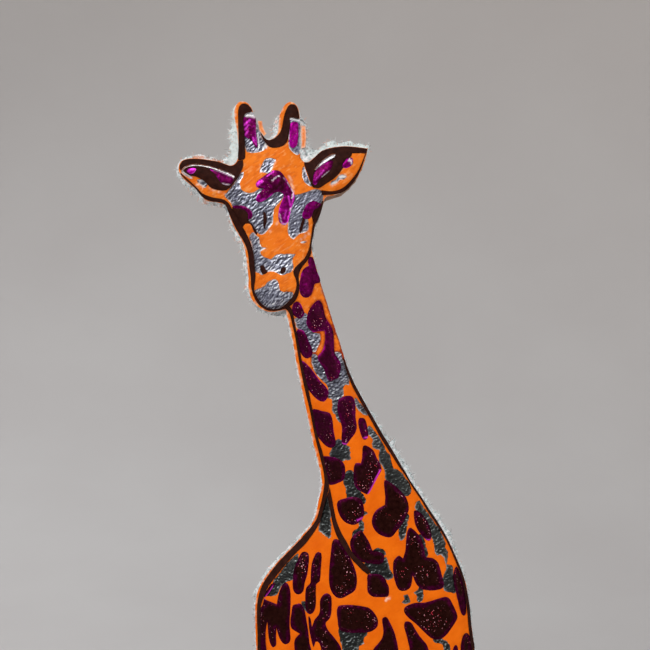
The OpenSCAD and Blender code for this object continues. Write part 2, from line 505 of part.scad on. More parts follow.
triple_pts = [
  [12.7, 203.1], [14.2, 201.8], [15.3, 200.3], [16, 198.3], [16.2, 196.4], [16.7, 195.7],
  [18.1, 195.5], [19.4, 194.5], [20, 193], [20.5, 191.1], [21, 189], [20.4, 187.9],
  [18.1, 187.5], [16, 187.7], [14.9, 188.2], [13.9, 189.4], [13.1, 191.3, 1], [12.9, 189.6],
  [12.4, 188.2], [11.1, 187.5], [9.8, 187.7], [9, 189], [8.4, 191.1], [8.2, 193.2],
  [8.4, 194.9], [9.1, 195.8], [9.8, 196.2], [10.7, 195.5, 1], [11.3, 197.4], [11.5, 199.8],
  [11.9, 202.4]
];
side_pts = [
  [24.2, 193.2], [25, 191.8], [25.8, 189.4], [26.4, 186.4], [26.7, 183.2], [26.6, 181.4],
  [26, 180.9], [25.3, 181.8], [24.7, 184.1], [24, 186.9], [23.4, 190.2], [23.5, 191.8]
];
oval_pts = [
  [-5.5, 183.6], [-4.1, 184], [-1.6, 184], [1.2, 183.6], [2.5, 183.1], [3.7, 181.8],
  [4.4, 180.3], [4.3, 178.8], [3.3, 177.8], [2, 177.3], [-0.5, 177.1], [-3, 177.2],
  [-4.7, 177.6], [-5.4, 178.6], [-5.6, 180.3], [-5.8, 182]
];
shield_pts = [
  [11.1, 183.3], [12.4, 184.1], [14.1, 184.5], [16, 184.5], [18.1, 185], [20.2, 185.6],
  [21.5, 185.8], [22.4, 185.3], [23.2, 183.9], [24, 182.2], [24.4, 180.7], [23.9, 179.5],
  [23, 178.2], [21.7, 176.5], [20.4, 175.5], [19.2, 175.2], [17.7, 175.7], [16, 177.2],
  [13.9, 179.3], [12.4, 180.5], [11.1, 182]
];
chest_set = [
  [
    [5.5, 180.5], [6, 181], [6.7, 180.9], [7.5, 179.5], [8.4, 177.6], [9, 175.5], [9.4, 173.6],
    [9.8, 170], [9.2, 166], [7, 163.6], [4, 164.6], [2.6, 168], [3.1, 172.5], [4.3, 174.2],
    [5.4, 175.7], [5.8, 177.4], [5.6, 179.1]
  ],
  [
    [11.1, 179.6], [11.8, 179.9], [12.8, 179.5], [13.7, 178], [14.9, 176.1], [16, 174.8],
    [16.8, 173.6], [17.6, 170], [17.8, 164.6], [15.6, 161], [13.4, 163], [12.4, 168],
    [12.4, 172.5], [12, 174.6], [11.5, 176.7], [11, 178.4]
  ],
  [
    [25.5, 175], [26.3, 176.5], [27.4, 176], [28.2, 173], [28.5, 168], [28.2, 163.6],
    [27, 161.6], [25.8, 163], [25.2, 168], [25.2, 172.5]
  ],
  [
    [23.2, 172.5], [23.7, 173.6], [24.3, 173.5], [24.7, 171], [24.6, 166], [23.8, 162.4],
    [22.8, 164], [22.6, 169]
  ]
];
flank_set = [
  [
    [-14.5, 196.8], [-13.4, 196.9], [-12.8, 196.2], [-12.8, 194.5], [-13.2, 191.5],
    [-13.8, 189.4], [-14.2, 187.3], [-15.3, 186.5], [-16.3, 186.9], [-16.8, 188.2],
    [-16.8, 190.3], [-16.5, 192.6], [-15.7, 194.7]
  ],
  [
    [-10.9, 196.8], [-10, 196.9], [-9.6, 196.2], [-9.8, 192.6], [-10.1, 189.8], [-11, 189],
    [-11, 185.2], [-11.2, 183.1], [-11.9, 181.9], [-12.8, 181.7], [-13.6, 183.1],
    [-13.6, 187.3], [-13.2, 188.5], [-12.4, 189.4], [-12.3, 191.5], [-12, 194.3]
  ],
  [
    [-24, 185.2], [-23.6, 184.9], [-22.4, 184.5], [-20.8, 183.9, 1], [-20.3, 186.6],
    [-19.2, 189], [-18.1, 189.1], [-17.4, 187], [-17.4, 183], [-17.6, 179], [-17.4, 175.2],
    [-18.2, 174.1], [-19.2, 174.2], [-20.2, 175.7], [-20.9, 178, 1], [-21, 175.6],
    [-21, 173.8], [-21.8, 173.1], [-22.5, 174.2], [-22.9, 176], [-23.2, 179.5, 1],
    [-23.6, 177], [-23.6, 174], [-23.3, 170.5], [-23.8, 166], [-24.6, 164.6], [-25.2, 167],
    [-25.1, 173], [-25.3, 179], [-25.1, 182.4, 1], [-24.4, 183.6]
  ],
  [
    [-23.8, 185.5], [-22.9, 186.5], [-21.8, 188.2], [-21.3, 189.1], [-22.2, 188.8],
    [-23.2, 187.4], [-24, 186]
  ],
  [
    [-16.8, 183.7], [-15.7, 184.1], [-14.9, 184.2], [-14, 183.1], [-13.6, 181.4],
    [-13.3, 179.7], [-12.9, 177.2], [-12.6, 174.4], [-11.9, 171], [-12.6, 166.8],
    [-14.4, 166.2], [-16, 169], [-16.3, 172], [-16.4, 174.6], [-15.9, 175.8],
    [-15, 176.7, 1], [-16.2, 177.4], [-17.2, 178.2], [-17.4, 179.9], [-17.1, 182]
  ],
  [
    [-12.9, 181], [-12.4, 180.6], [-12, 178.4, 1], [-11.3, 180.3], [-10.4, 181.4],
    [-10, 182.7], [-10, 184.8], [-9.4, 186.2], [-8.3, 186.9], [-7.3, 186.2], [-7.1, 184.8],
    [-7.2, 182], [-7.7, 180.5], [-8.5, 179.7], [-8.5, 178.8], [-7.9, 177.6], [-6.8, 176.3],
    [-5.8, 175], [-4.9, 173.6], [-4.6, 171], [-5.8, 167.6], [-7.6, 166.6], [-9.2, 169],
    [-9.7, 172.8], [-10.2, 174.5], [-11.1, 174.8], [-11.6, 173.4], [-12.2, 175.4],
    [-12.7, 178]
  ]
];
belly_set = [
  [[-21.6, 171], [-19.4, 171.6], [-18, 169], [-18.2, 164], [-19.6, 160.6], [-21.8, 160.8],
   [-22.8, 164], [-22.6, 168]],
  [[-14.8, 162.6], [-12, 163.6], [-9.6, 162], [-8.8, 158.6], [-10.6, 155.4], [-13.6, 155],
   [-15.8, 157.4], [-16, 160.4]],
  [[-4.6, 165.6], [-1.4, 167], [0.6, 164.6], [0.8, 160], [-1.2, 156.8], [-4.4, 157.6],
   [-6, 161]],
  [[4.4, 159.6], [8, 160.4], [10.8, 158], [11, 153.6], [8.4, 150.6], [5, 151.2],
   [3.2, 154.4], [3.2, 157.4]],
  [[14.6, 156.4], [18, 157.2], [20.4, 154], [20, 149.6], [17, 147.2], [13.9, 149],
   [13.2, 153]],
  [[22.8, 157.6], [25.4, 158.6], [27.4, 155.6], [27.4, 150], [25.6, 146], [23.4, 147.6],
   [22.4, 152.4]],
  [[-23.8, 157], [-21.4, 157.2], [-19.6, 153.6], [-19.8, 148.4], [-22, 145.4],
   [-24, 147.4], [-24.6, 152.6]],
  [[-16, 151.4], [-12.4, 151.6], [-10.2, 148.4], [-11, 143.6], [-14.2, 141.6],
   [-17, 143.8], [-17.4, 148.2]],
  [[-6, 152.8], [-2.2, 153.2], [-0.4, 149.6], [-1, 144.8], [-4.4, 143], [-7.2, 145.4],
   [-7.6, 149.8]],
  [[3.2, 146.6], [6.8, 147.4], [9.6, 144.6], [9.2, 140], [6, 137.8], [2.8, 139.6],
   [1.8, 143.2]],
  [[13.4, 142.8], [17.4, 143.8], [20.6, 141], [20.4, 136.4], [17, 134], [13.4, 135.8],
   [12, 139.4]],
  [[23.6, 141.4], [25.8, 142.2], [26.8, 138], [25.6, 133.4], [23.8, 132.4], [22.6, 135]],
  [[-22.4, 141.6], [-19.4, 141.4], [-17.6, 138], [-18.4, 135], [-21.4, 136], [-23.2, 139]],
  [[-13, 138], [-9, 139.2], [-6.2, 136.6], [-7, 133.2], [-11, 132.8], [-13.8, 134.8]]
];
leg_set = [
  [[-2.6, 122], [0.4, 123.6], [2.6, 121], [2.4, 115], [0.2, 112.4], [-2.4, 114.6]],
  [[-2, 107], [0.6, 108], [2, 104.6], [1.4, 98.6], [-0.8, 97], [-2.2, 101]],
  [[-1.6, 91], [1, 92], [1.9, 88.6], [0.6, 84.4], [-1.6, 85.4]],
  [[-1.2, 76], [1.2, 76.8], [1.4, 72], [0, 68.6], [-1.5, 70.8]]
];

module purple_windows() {
  shape(horn_left_sleeve_pts);
  shape(horn_right_sleeve_pts);
  shape(ear_left_tip_pts);
  shape(ear_left_inner_pts);
  shape(ear_right_inner_pts);
  shape(ear_right_tip_pts);
  shape(blaze_pts);
  shape(eyelid_left_pts);
  shape(eyelid_right_pts);
  shape(jaw_pts);
  shape(throat_pts);
  shape(neck_long_pts);
  shape(neck_upper_pts);
  shape(neck_middle_pts);
  shape(neck_lower_pts);
  shape(neck_front_pts);
  shape(neck_small_pts);
  shape(nape_pts);
  shape(diamond_pts);
  shape(round_pts);
  shape(comma_pts);
  shape(edge_pts);
  shape(drop_pts);
  shape(shoulder_pts);
  shape(block_pts);
  shape(triple_pts);
  shape(side_pts);
  shape(oval_pts);
  shape(shield_pts);
  for (p = chest_set) shape(p);
  for (p = flank_set) shape(p);
  for (p = belly_set) shape(p);
  for (cx = legs_front, p = leg_set) shape(moved(p, cx));
}

// ---- dark trim ----
eye_left_pts = [
  [-32, 283.4], [-30.4, 283.3], [-29, 283.2], [-27.9, 282.5], [-27.1, 281.4], [-27.3, 280.5],
  [-27.9, 279.9], [-27.1, 279.1], [-26.4, 278.1], [-25.7, 276.8], [-25.9, 276.3],
  [-26.6, 277.2], [-27, 278.2], [-27.4, 279], [-28.7, 279.1], [-29.3, 278.4], [-30, 277.8],
  [-31, 279.4], [-31.8, 281.2]
];
eye_right_pts = [
  [-9.5, 283.9], [-10.4, 283.2], [-11.6, 282.4], [-12.1, 281], [-11.9, 280.2], [-11.5, 279],
  [-10.9, 279.6], [-10.2, 281.2], [-9.6, 282.8]
];
slit_left_pts = [
  [-24.2, 281.8], [-23.8, 282], [-23.4, 281.2], [-23.3, 279.8], [-23.6, 278.6], [-23.9, 277.8],
  [-24.2, 278.4], [-24.2, 280]
];
slit_right_pts = [
  [-14.2, 280.7], [-13.8, 281], [-13.7, 280.2], [-14.1, 278.8], [-14.6, 277.2], [-15, 276.8],
  [-15.1, 277.8], [-14.7, 279.4]
];
nostril_left_pts = [
  [-25, 268.6], [-24.1, 268.7], [-23.7, 267.8], [-23.1, 267.1], [-23.7, 266.5], [-24.4, 266.5],
  [-24.9, 267.6]
];
nostril_right_pts = [
  [-19.6, 268], [-18.5, 268.2], [-18.6, 267.2], [-19.1, 266.6], [-19.7, 266.5], [-19.9, 267.2]
];
ear_left_shell_pts = [
  [-45.3, 293], [-45, 294.4], [-43.8, 295.3], [-41, 295.5], [-37.6, 295.1], [-35, 294.6],
  [-33, 293.8], [-31.6, 293.9], [-30.5, 295], [-29.4, 295.2], [-29.3, 293.5], [-29.8, 292.2],
  [-30.4, 290.8], [-31.3, 289.6], [-32.2, 288.4], [-33.5, 287.5], [-35.2, 287.5],
  [-37.3, 288.1], [-38.7, 289.5], [-41, 290.9], [-42.8, 291.2], [-43.5, 291.5],
  [-44.4, 292.1]
];
ear_right_shell_pts = [
  [-14, 294.6], [-12.8, 294.6], [-11, 296.2], [-9.6, 297.4], [-7.2, 298.2], [-3.8, 298.6],
  [-1, 298.4], [1.9, 298, 1], [1.7, 296.9, 1], [-0.4, 296.9], [-2, 296.8, 1], [-2.3, 295.9],
  [-4.2, 293.2], [-5.1, 291.8], [-6.5, 290.4], [-8.2, 289.3], [-10.1, 288.1], [-11.2, 288.1],
  [-12, 288.5], [-13, 291.2], [-13.7, 293.2]
];
horn_left_cap_pts = [
  [-30.6, 295.3], [-30.5, 298], [-30.5, 302], [-30.6, 306], [-30.5, 308], [-29.9, 309.1],
  [-28.9, 309.4], [-27.9, 308.9], [-27.1, 307.8], [-27.3, 307.2], [-28.6, 306.8], [-29.3, 305.4],
  [-29.1, 303], [-28.9, 300.5], [-28.8, 298], [-28.8, 295.6], [-29.6, 295.2]
];
horn_right_cap_pts = [
  [-25, 302.2], [-24, 300.9], [-23, 300.2], [-21.8, 300.5], [-20.8, 301.2], [-20, 302.2],
  [-19.5, 303.8], [-19, 306.4], [-18.2, 308.4], [-17.3, 309.2], [-16.2, 309], [-15.5, 307.8],
  [-15.2, 305.7], [-15.6, 305.5], [-17.6, 305.9], [-17.5, 304.4], [-17.8, 302], [-18.1, 300],
  [-19.2, 298.7], [-21, 298.2], [-22.6, 298.4], [-23.8, 299.6], [-24.6, 301]
];
face_path = [
  [-45, 291.8, 0.3], [-44.1, 290.9, 0.4], [-42.8, 289.7, 0.4], [-41.2, 288.2, 0.4],
  [-39.9, 286.7, 0.6], [-38.6, 285.8, 1], [-36.8, 285.2, 1], [-34.6, 284.9, 0.9], [-33.3, 284, 1], [-32.6, 282.6, 1.2],
  [-31.6, 280.6, 1.4], [-30.7, 278.9, 1.6], [-29.6, 277, 1.7], [-28.5, 275, 1.5],
  [-27.7, 273, 1.4], [-27.3, 271, 1.4], [-27.1, 268.7, 1.4], [-26.8, 265.8, 1.2],
  [-26.9, 263.4, 0.8], [-26.7, 262, 0.6], [-26, 260.4, 0.7], [-24.9, 258.9, 0.7],
  [-23.3, 257.8, 0.6], [-21.5, 257.5, 0.5], [-19.6, 257.9, 0.6], [-18, 258.8, 1.1],
  [-16.7, 260.1, 1.2], [-15.8, 261.8, 1], [-15.5, 263.6, 0.7], [-15.7, 265.4, 0.8],
  [-15.9, 267, 1.6], [-15, 268.5, 1.2], [-13.6, 270.1, 0.9], [-12.7, 271.8, 0.9],
  [-12.3, 274, 0.4], [-11.9, 276.5, 0.5], [-11.5, 278.8, 0.6], [-10.7, 280.8, 0.9],
  [-9.8, 283, 0.6], [-9.3, 285, 0.3]
];
nape_path = [
  [-18.9, 258.2, 0.6], [-17.9, 257.9, 1.1], [-17.2, 256.6, 0.9], [-16.7, 254.2, 0.7],
  [-16, 251, 0.6], [-15.4, 247.6, 0.7], [-14.9, 244.6, 0.7], [-14.2, 241, 0.7],
  [-13.4, 237.7, 0.9], [-12.8, 235, 0.8], [-12.1, 231.8, 0.7], [-11.5, 228.4, 0.6],
  [-10.8, 225.2, 0.7], [-9.9, 222, 0.9], [-9.3, 219.4, 0.8], [-8.8, 217, 0.7],
  [-8.4, 214.6, 1], [-8.4, 212.8, 1.3], [-8.9, 210.6, 1], [-9.7, 207.4, 0.9],
  [-10.5, 204.7, 1], [-11.9, 202.4, 1.3], [-13, 201, 1.5], [-14.4, 199.3, 1.6],
  [-16.4, 197.3, 1.5], [-18.6, 195, 1.6], [-20.5, 192.8, 1.7], [-22.3, 190.5, 1.6],
  [-23.7, 188.4, 1.5], [-24.6, 186.2, 1.4], [-25.3, 183.4, 1], [-25.4, 180, 0.9],
  [-25.3, 176, 0.8], [-25.3, 172.5, 0.8]
];
throat_path = [
  [-4.1, 245.4, 0.3], [-3.3, 242.8, 0.6], [-2.6, 241, 0.7], [-1.5, 238.5, 0.8],
  [-0.1, 235.9, 0.8], [1.6, 232.8, 0.8], [3.4, 229.6, 0.8], [5.3, 226.2, 0.9],
  [6.9, 223.6, 0.9], [8.4, 221.2, 0.8], [9.9, 218.7, 0.7], [11.3, 216.6, 0.5],
  [12.6, 214.4, 0.4], [14.2, 212, 0.5], [15.7, 209.8, 0.5], [17.2, 207.3, 0.6],
  [18.9, 204.8, 0.6], [20.4, 202.4, 0.6], [21.8, 200, 0.5], [23.2, 197, 0.5],
  [24.5, 194, 0.6], [25.5, 191.4, 0.6], [26.4, 188, 0.6], [27, 184.5, 0.8],
  [27.4, 181, 0.8], [27.7, 177.5, 0.8], [28.2, 174.4, 0.8], [28.5, 172.5, 0.8]
];
shoulder_path = [
  [-8.2, 213, 1.2], [-7.6, 210.5, 1.1], [-7, 207.5, 1], [-6.5, 205, 1.1], [-5.8, 202.8, 1.3],
  [-5, 201, 1.4], [-3.9, 199.2, 1.4], [-2.8, 197.3, 1.2], [-1.5, 195.6, 1.2], [0, 194.2, 1.4],
  [1.2, 193, 1.4], [2.3, 191.9, 0.9]
];
ear_right_path = [
  [-9.6, 286.9, 1.2], [-7.2, 286.9, 0.8], [-5, 287.3, 0.9], [-3.2, 288.4, 0.9],
  [-1.6, 290.2, 0.8], [-0.2, 292.4, 0.5], [0.8, 294.8, 0.3], [1.5, 296.8, 0.2]
];
tail_path = [
  [-13, 176, 5], [-15.5, 168, 3.6], [-17.2, 158, 2.8], [-18, 148, 2.4], [-18, 138, 2.6]
];
tuft_pts = [
  [-19.3, 138], [-20.6, 132], [-20.4, 125], [-18.4, 119, 1], [-16.4, 124.6], [-15.8, 132],
  [-16.7, 138]
];

// Orange skin outline, with three slivers that stand clear of the horns
horn_slivers = [
  [[-25.6, 305.1], [-24.6, 305], [-24.3, 303.3], [-23.5, 301.9], [-24.1, 301.2], [-25.2, 302.8]],
  [[-14.7, 303.9], [-13.7, 303.8], [-13.5, 301], [-13.7, 298.4], [-14.7, 298.1]]
];

module skin_outline() {
  shape(spread(front_figure([])));
  for (p = horn_slivers) polygon(p);
}

// ---- plinth ----
module rounded(w, d, r) {
  square([w - 2 * r, d], center = true);
  square([w, d - 2 * r], center = true);
  for (x = [-1, 1], y = [-1, 1]) translate([x * (w / 2 - r), y * (d / 2 - r)]) circle(r, $fn = 48);
}

module at_legs() {
  for (x = legs_front) translate([x, front_mid]) children();
  for (x = legs_rear) translate([x, rear_mid]) children();
}

module mortises(at, y, t) {
  for (x = at)
    translate([x - tenon_w / 2, y, plinth_top - tenon_len]) cube([tenon_w, t, tenon_len + 1]);
}

module base_plinth() {
  color([0.2, 0.11, 0.06]) difference() {
    union() {
      translate([0, 0, pad_t])
        linear_extrude(plinth_top - pad_t - plinth_step) rounded(plinth_w, plinth_d, plinth_corner);
      translate([0, 0, plinth_top - plinth_step])
        linear_extrude(plinth_step)
          rounded(plinth_w - 2 * plinth_step, plinth_d - 2 * plinth_step, plinth_corner - plinth_step / 2);
    }
    mortises(legs_front, front_face, front_t);
    mortises(legs_rear, glue_line, rear_t);
    at_legs() cylinder(h = plinth_top, d = screw_d, $fn = 32);
    at_legs() translate([0, 0, pad_t]) cylinder(h = screw_d / 2, d1 = 2 * screw_d, d2 = screw_d, $fn = 32);
  }
}

module base_pad() {
  color([0.16, 0.15, 0.15])
    linear_extrude(pad_t) rounded(plinth_w - 4, plinth_d - 4, plinth_corner - 2);
}

module base_screws() {
  color([0.75, 0.65, 0.35]) at_legs() translate([0, 0, pad_t]) {
    cylinder(h = screw_d / 2, d1 = 2 * screw_d, d2 = screw_d, $fn = 32);
    cylinder(h = 26, d = screw_d, $fn = 32);
  }
}

// ---- boards ----
module dowel_bores() {
  for (p = dowel_at)
    translate([p[0], glue_line - dowel_len / 2, p[1]]) rotate([-90, 0, 0])
      cylinder(h = dowel_len, d = dowel_d, $fn = 32);
}

module screw_bores() {
  at_legs() translate([0, 0, pad_t]) cylinder(h = 26, d = screw_d, $fn = 32);
}

module front_board() {
  color([0.62, 0.42, 0.24]) difference() {
    sheet(glue_line, front_t) shape(front_figure(tenon_half));
    dowel_bores();
    screw_bores();
  }
}

module rear_board() {
  color([0.58, 0.38, 0.21]) difference() {
    sheet(rear_back, rear_t) shape(rear_figure(tenon_half));
    dowel_bores();
    screw_bores();
  }
}

module board_dowels() {
  color([0.8, 0.66, 0.45]) dowel_bores();
}

module tail() {
  color([0.55, 0.35, 0.19]) sheet(rear_back + 4, 4) polygon(stroke(tail_path));
}

module tail_tuft() {
  color([0.16, 0.09, 0.06]) sheet(rear_back + 4, 4) intersection() {
    shape(tuft_pts);
    band(100, 137.9);
  }
}

// ---- ground layers ----
module felt_ground() {
  color([0.9, 0.9, 0.88]) sheet(front_face, felt_t) intersection() {
    offset(delta = -felt_fill) offset(delta = felt_fill + felt_rim) front_outline();
    band(plinth_top, 400);
  }
}

module silver_foil() {
  color([0.72, 0.74, 0.76]) sheet(felt_face, foil_t) front_outline();
}

module orange_skin() {
  color([0.9, 0.42, 0.07]) sheet(foil_face, skin_t) difference() {
    skin_outline();
    silver_windows();
    purple_windows();
    shape(eye_left_pts);
    shape(eye_right_pts);
  }
}

// ---- trim modules ----
module trim(y_back) {
  color([0.13, 0.07, 0.05]) sheet(y_back, trim_t) children();
}

module face_line() {
  trim(skin_face) polygon(stroke(face_path));
}

module nape_line() {
  trim(skin_face) polygon(stroke(nape_path));
}

module throat_line() {
  trim(skin_face) polygon(stroke(throat_path));
}

module shoulder_line() {
  trim(skin_face) difference() {
    polygon(stroke(shoulder_path));
    offset(delta = gap) polygon(stroke(nape_path));
  }
}

module lower_line() {
  trim(skin_face) intersection() {
    difference() {
      front_outline();
      offset(delta = -trim_w) front_outline();
    }
    band(hoof_top, crop_top - gap);
  }
}

module horn_left_cap() {
  trim(skin_face) shape(horn_left_cap_pts);
}

module horn_right_cap() {
  trim(skin_face) shape(horn_right_cap_pts);
}

module ear_left_shell() {
  trim(skin_face) difference() {
    shape(ear_left_shell_pts);
    shape(ear_left_line_win);
    shape(ear_left_tip_pts);
    shape(ear_left_inner_pts);
    offset(delta = gap) shape(horn_left_cap_pts);
  }
}

module ear_right_shell() {
  trim(skin_face) difference() {
    shape(ear_right_shell_pts);
    shape(ear_right_line_win);
    shape(ear_right_inner_pts);
    shape(ear_right_tip_pts);
  }
}

module ear_right_rim() {
  trim(skin_face) difference() {
    polygon(stroke(ear_right_path));
    offset(delta = gap) shape(ear_right_shell_pts);
  }
}

module hooves() {
  trim(skin_face) intersection() {
    for (cx = legs_front) shape(leg(cx, foreleg_half));
    band(plinth_top, hoof_top - gap);
  }
}

// Pieces that lie on the silver foil, inside windows of the skin
module inlay(tint, t) {
  color(tint) sheet(foil_face, t) children();
}

dark = [0.1, 0.06, 0.05];
plum = [0.32, 0.02, 0.24];

module eye_left() {
  inlay(dark, skin_t) difference() {
    shape(eye_left_pts);
    shape(eyelid_left_pts);
  }
}

module eye_right() {
  inlay(dark, skin_t) difference() {
    shape(eye_right_pts);
    shape(eyelid_right_pts);
  }
}

module brow_slits() {
  inlay(dark, purple_t) {
    shape(slit_left_pts);
    shape(slit_right_pts);
  }
}

module nostrils() {
  inlay(dark, purple_t) {
    shape(nostril_left_pts);
    shape(nostril_right_pts);
  }
}

module foil(p) {
  inlay(plum, purple_t) shape(p);
}

module horn_left_sleeve() {
  foil(horn_left_sleeve_pts);
}

module horn_right_sleeve() {
  foil(horn_right_sleeve_pts);
}

module ear_left_tip() {
  foil(ear_left_tip_pts);
}

module ear_left_inner() {
  foil(ear_left_inner_pts);
}

module ear_right_inner() {
  foil(ear_right_inner_pts);
}

module ear_right_tip() {
  foil(ear_right_tip_pts);
}

module blaze() {
  foil(blaze_pts);
}

module eyelid_left() {
  foil(eyelid_left_pts);
}

module eyelid_right() {
  foil(eyelid_right_pts);
}

module spot_jaw() {
  foil(jaw_pts);
}

module spot_throat() {
  foil(throat_pts);
}

module spot_neck_long() {
  foil(neck_long_pts);
}

module spot_neck_upper() {
  foil(neck_upper_pts);
}

module spot_neck_middle() {
  foil(neck_middle_pts);
}

module spot_neck_lower() {
  foil(neck_lower_pts);
}

module spot_neck_front() {
  foil(neck_front_pts);
}

module spot_neck_small() {
  foil(neck_small_pts);
}

module spot_nape() {
  foil(nape_pts);
}

module spot_diamond() {
  foil(diamond_pts);
}

module spot_round() {
  foil(round_pts);
}

module spot_comma() {
  foil(comma_pts);
}

module spot_edge() {
  foil(edge_pts);
}

module spot_drop() {
  foil(drop_pts);
}

module spot_shoulder() {
  foil(shoulder_pts);
}

module spot_block() {
  foil(block_pts);
}

module spot_triple() {
  foil(triple_pts);
}

module spot_side() {
  foil(side_pts);
}

module spot_oval() {
  foil(oval_pts);
}

module spot_shield() {
  foil(shield_pts);
}

module chest_spots() {
  inlay(plum, purple_t) for (p = chest_set) shape(p);
}

module flank_spots() {
  inlay(plum, purple_t) for (p = flank_set) shape(p);
}

module belly_spots() {
  inlay(plum, purple_t) {
    for (p = belly_set) shape(p);
    for (cx = legs_front, p = leg_set) shape(moved(p, cx));
  }
}

// ---- hind legs, faced where they show between the forelegs ----
module hind_area() {
  difference() {
    rear_outline();
    offset(delta = 4 * gap) front_outline();
  }
}

module hind_skin() {
  color([0.9, 0.42, 0.07]) sheet(glue_line, skin_t) hind_area();
}

module hind_spots() {
  color(plum) sheet(glue_line - skin_t, purple_t) intersection() {
    offset(delta = -6 * gap) hind_area();
    for (cx = legs_rear, p = leg_set) shape(moved(p, cx));
  }
}

base_plinth();
base_pad();
base_screws();
front_board();
rear_board();
board_dowels();
tail();
tail_tuft();
felt_ground();
silver_foil();
orange_skin();
face_line();
nape_line();
throat_line();
shoulder_line();
lower_line();
horn_left_cap();
horn_right_cap();
horn_left_sleeve();
horn_right_sleeve();
ear_left_shell();
ear_left_tip();
ear_left_inner();
ear_right_shell();
ear_right_rim();
ear_right_inner();
ear_right_tip();
blaze();
eye_left();
eye_right();
eyelid_left();
eyelid_right();
brow_slits();
nostrils();
spot_jaw();
spot_throat();
spot_neck_long();
spot_neck_upper();
spot_neck_middle();
spot_neck_lower();
spot_neck_front();
spot_neck_small();
spot_nape();
spot_diamond();
spot_round();
spot_comma();
spot_edge();
spot_drop();
spot_shoulder();
spot_block();
spot_triple();
spot_side();
spot_oval();
spot_shield();
chest_spots();
flank_spots();
belly_spots();
hooves();
hind_skin();
hind_spots();
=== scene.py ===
"""Looks of the carved giraffe statue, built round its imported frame.

Outlines come from the frame's own faces, as (x, z) points in millimetres. The statue faces -Y, so a
surface that stands nearer the viewer has a smaller y. Meshes are made in millimetres and stored in
metres.
"""
import json
import math

import bpy
import numpy as np
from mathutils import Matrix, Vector
from mathutils.geometry import delaunay_2d_cdt


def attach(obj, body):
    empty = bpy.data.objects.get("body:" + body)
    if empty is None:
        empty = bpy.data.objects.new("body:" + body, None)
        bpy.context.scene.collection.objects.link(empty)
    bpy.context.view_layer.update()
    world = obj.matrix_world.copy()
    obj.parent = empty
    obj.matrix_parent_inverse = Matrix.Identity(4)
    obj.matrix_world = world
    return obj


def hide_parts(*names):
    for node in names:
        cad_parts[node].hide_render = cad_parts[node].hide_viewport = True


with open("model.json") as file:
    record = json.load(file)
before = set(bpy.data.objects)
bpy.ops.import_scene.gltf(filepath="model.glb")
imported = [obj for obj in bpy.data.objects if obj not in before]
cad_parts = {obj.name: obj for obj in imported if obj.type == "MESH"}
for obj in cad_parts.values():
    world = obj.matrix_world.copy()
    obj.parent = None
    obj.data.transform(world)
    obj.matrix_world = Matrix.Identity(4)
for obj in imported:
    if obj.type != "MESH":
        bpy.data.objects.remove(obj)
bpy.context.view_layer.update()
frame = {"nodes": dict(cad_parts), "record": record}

MM = 0.001
CORNER = math.radians(38)  # an outline that turns more than this at a point keeps its corner
ROW = 1.0  # height in mm of the bands that outlines are searched in
RELIEF = 2.4  # how far the facings are padded out from the board, in mm
RELIEF_REACH = 3.4  # distance from the edge over which the padding rises, in mm
FOIL_GRID = 0.24  # spacing in mm of the points on bare foil
CHEST_TOP = 212.0  # height in mm where the chest's grained foil gives way to the neck's creased foil
THROAT = 262.0  # height in mm above which the foil has the head's deep creases
FIBRES = 5200  # loose fibres round the rim of the felt
PLINTH_CLEAR = 19  # height in mm that keeps fibres clear of the plinth's top
SLANT = -0.95  # radians that the skin's wrinkles lean by, up to the right

slots = {s["node"]: s["material_slot"] for s in frame["record"]["subparts"]}


# ---- outlines ----
def corners(node):
    """The node's vertices in mm, and its faces as lists of vertex numbers."""
    mesh = frame["nodes"][node].data
    flat = np.empty(len(mesh.vertices) * 3)
    mesh.vertices.foreach_get("co", flat)
    return flat.reshape(-1, 3) / MM, [list(p.vertices) for p in mesh.polygons]


def rings(faces):
    """Closed rings of vertex numbers round the faces, which all turn the same way."""
    edges = {(a, b) for face in faces for a, b in zip(face, face[1:] + face[:1])}
    after = {}
    for a, b in sorted(edges):
        if (b, a) not in edges:
            after.setdefault(a, []).append(b)
    made = []
    while after:
        first = next(iter(after))
        ring, here = [], first
        while here in after:
            ring.append(here)
            following = after[here].pop()
            if not after[here]:
                del after[here]
            here = following
        if len(ring) > 2:
            made.append(ring)
    return made


def face_loops(node, side=0):
    """Outlines of the node's front face (side 0) or back face (side -1)."""
    points, faces = corners(node)
    level = np.sort(points[:, 1])[side]
    number = {}
    same = [number.setdefault((round(x, 3), round(z, 3)), len(number)) for x, _, z in points]
    places = np.array(list(number))
    flat = [[same[v] for v in f] for f in faces if all(abs(points[v, 1] - level) < 0.01 for v in f)]
    return [places[ring] for ring in rings(flat)]


def rounded(loop, step=0.4):
    """The same outline as a smooth curve through its points, keeping its sharp corners."""
    gap = np.linalg.norm(loop - np.roll(loop, 1, 0), axis=1)
    loop = loop[gap > 0.06]
    ahead = np.roll(loop, -1, 0) - loop
    length = np.linalg.norm(ahead, axis=1)
    unit = ahead / length[:, None]
    before = np.roll(unit, 1, 0)
    turn = np.arccos(np.clip((unit * before).sum(1), -1, 1))
    mean = unit + before
    mean /= np.maximum(np.linalg.norm(mean, axis=1), 1e-6)[:, None]
    out = []
    for i in range(len(loop)):
        j = (i + 1) % len(loop)
        leave = (unit[i] if turn[i] > CORNER else mean[i]) * length[i]
        arrive = (unit[i] if turn[j] > CORNER else mean[j]) * length[i]
        for t in np.arange(max(1, round(length[i] / step))) / max(1, round(length[i] / step)):
            out.append(
                loop[i] * (2 * t**3 - 3 * t**2 + 1) + leave * (t**3 - 2 * t**2 + t)
                + loop[j] * (3 * t**2 - 2 * t**3) + arrive * (t**3 - t**2)
            )
    return np.array(out)


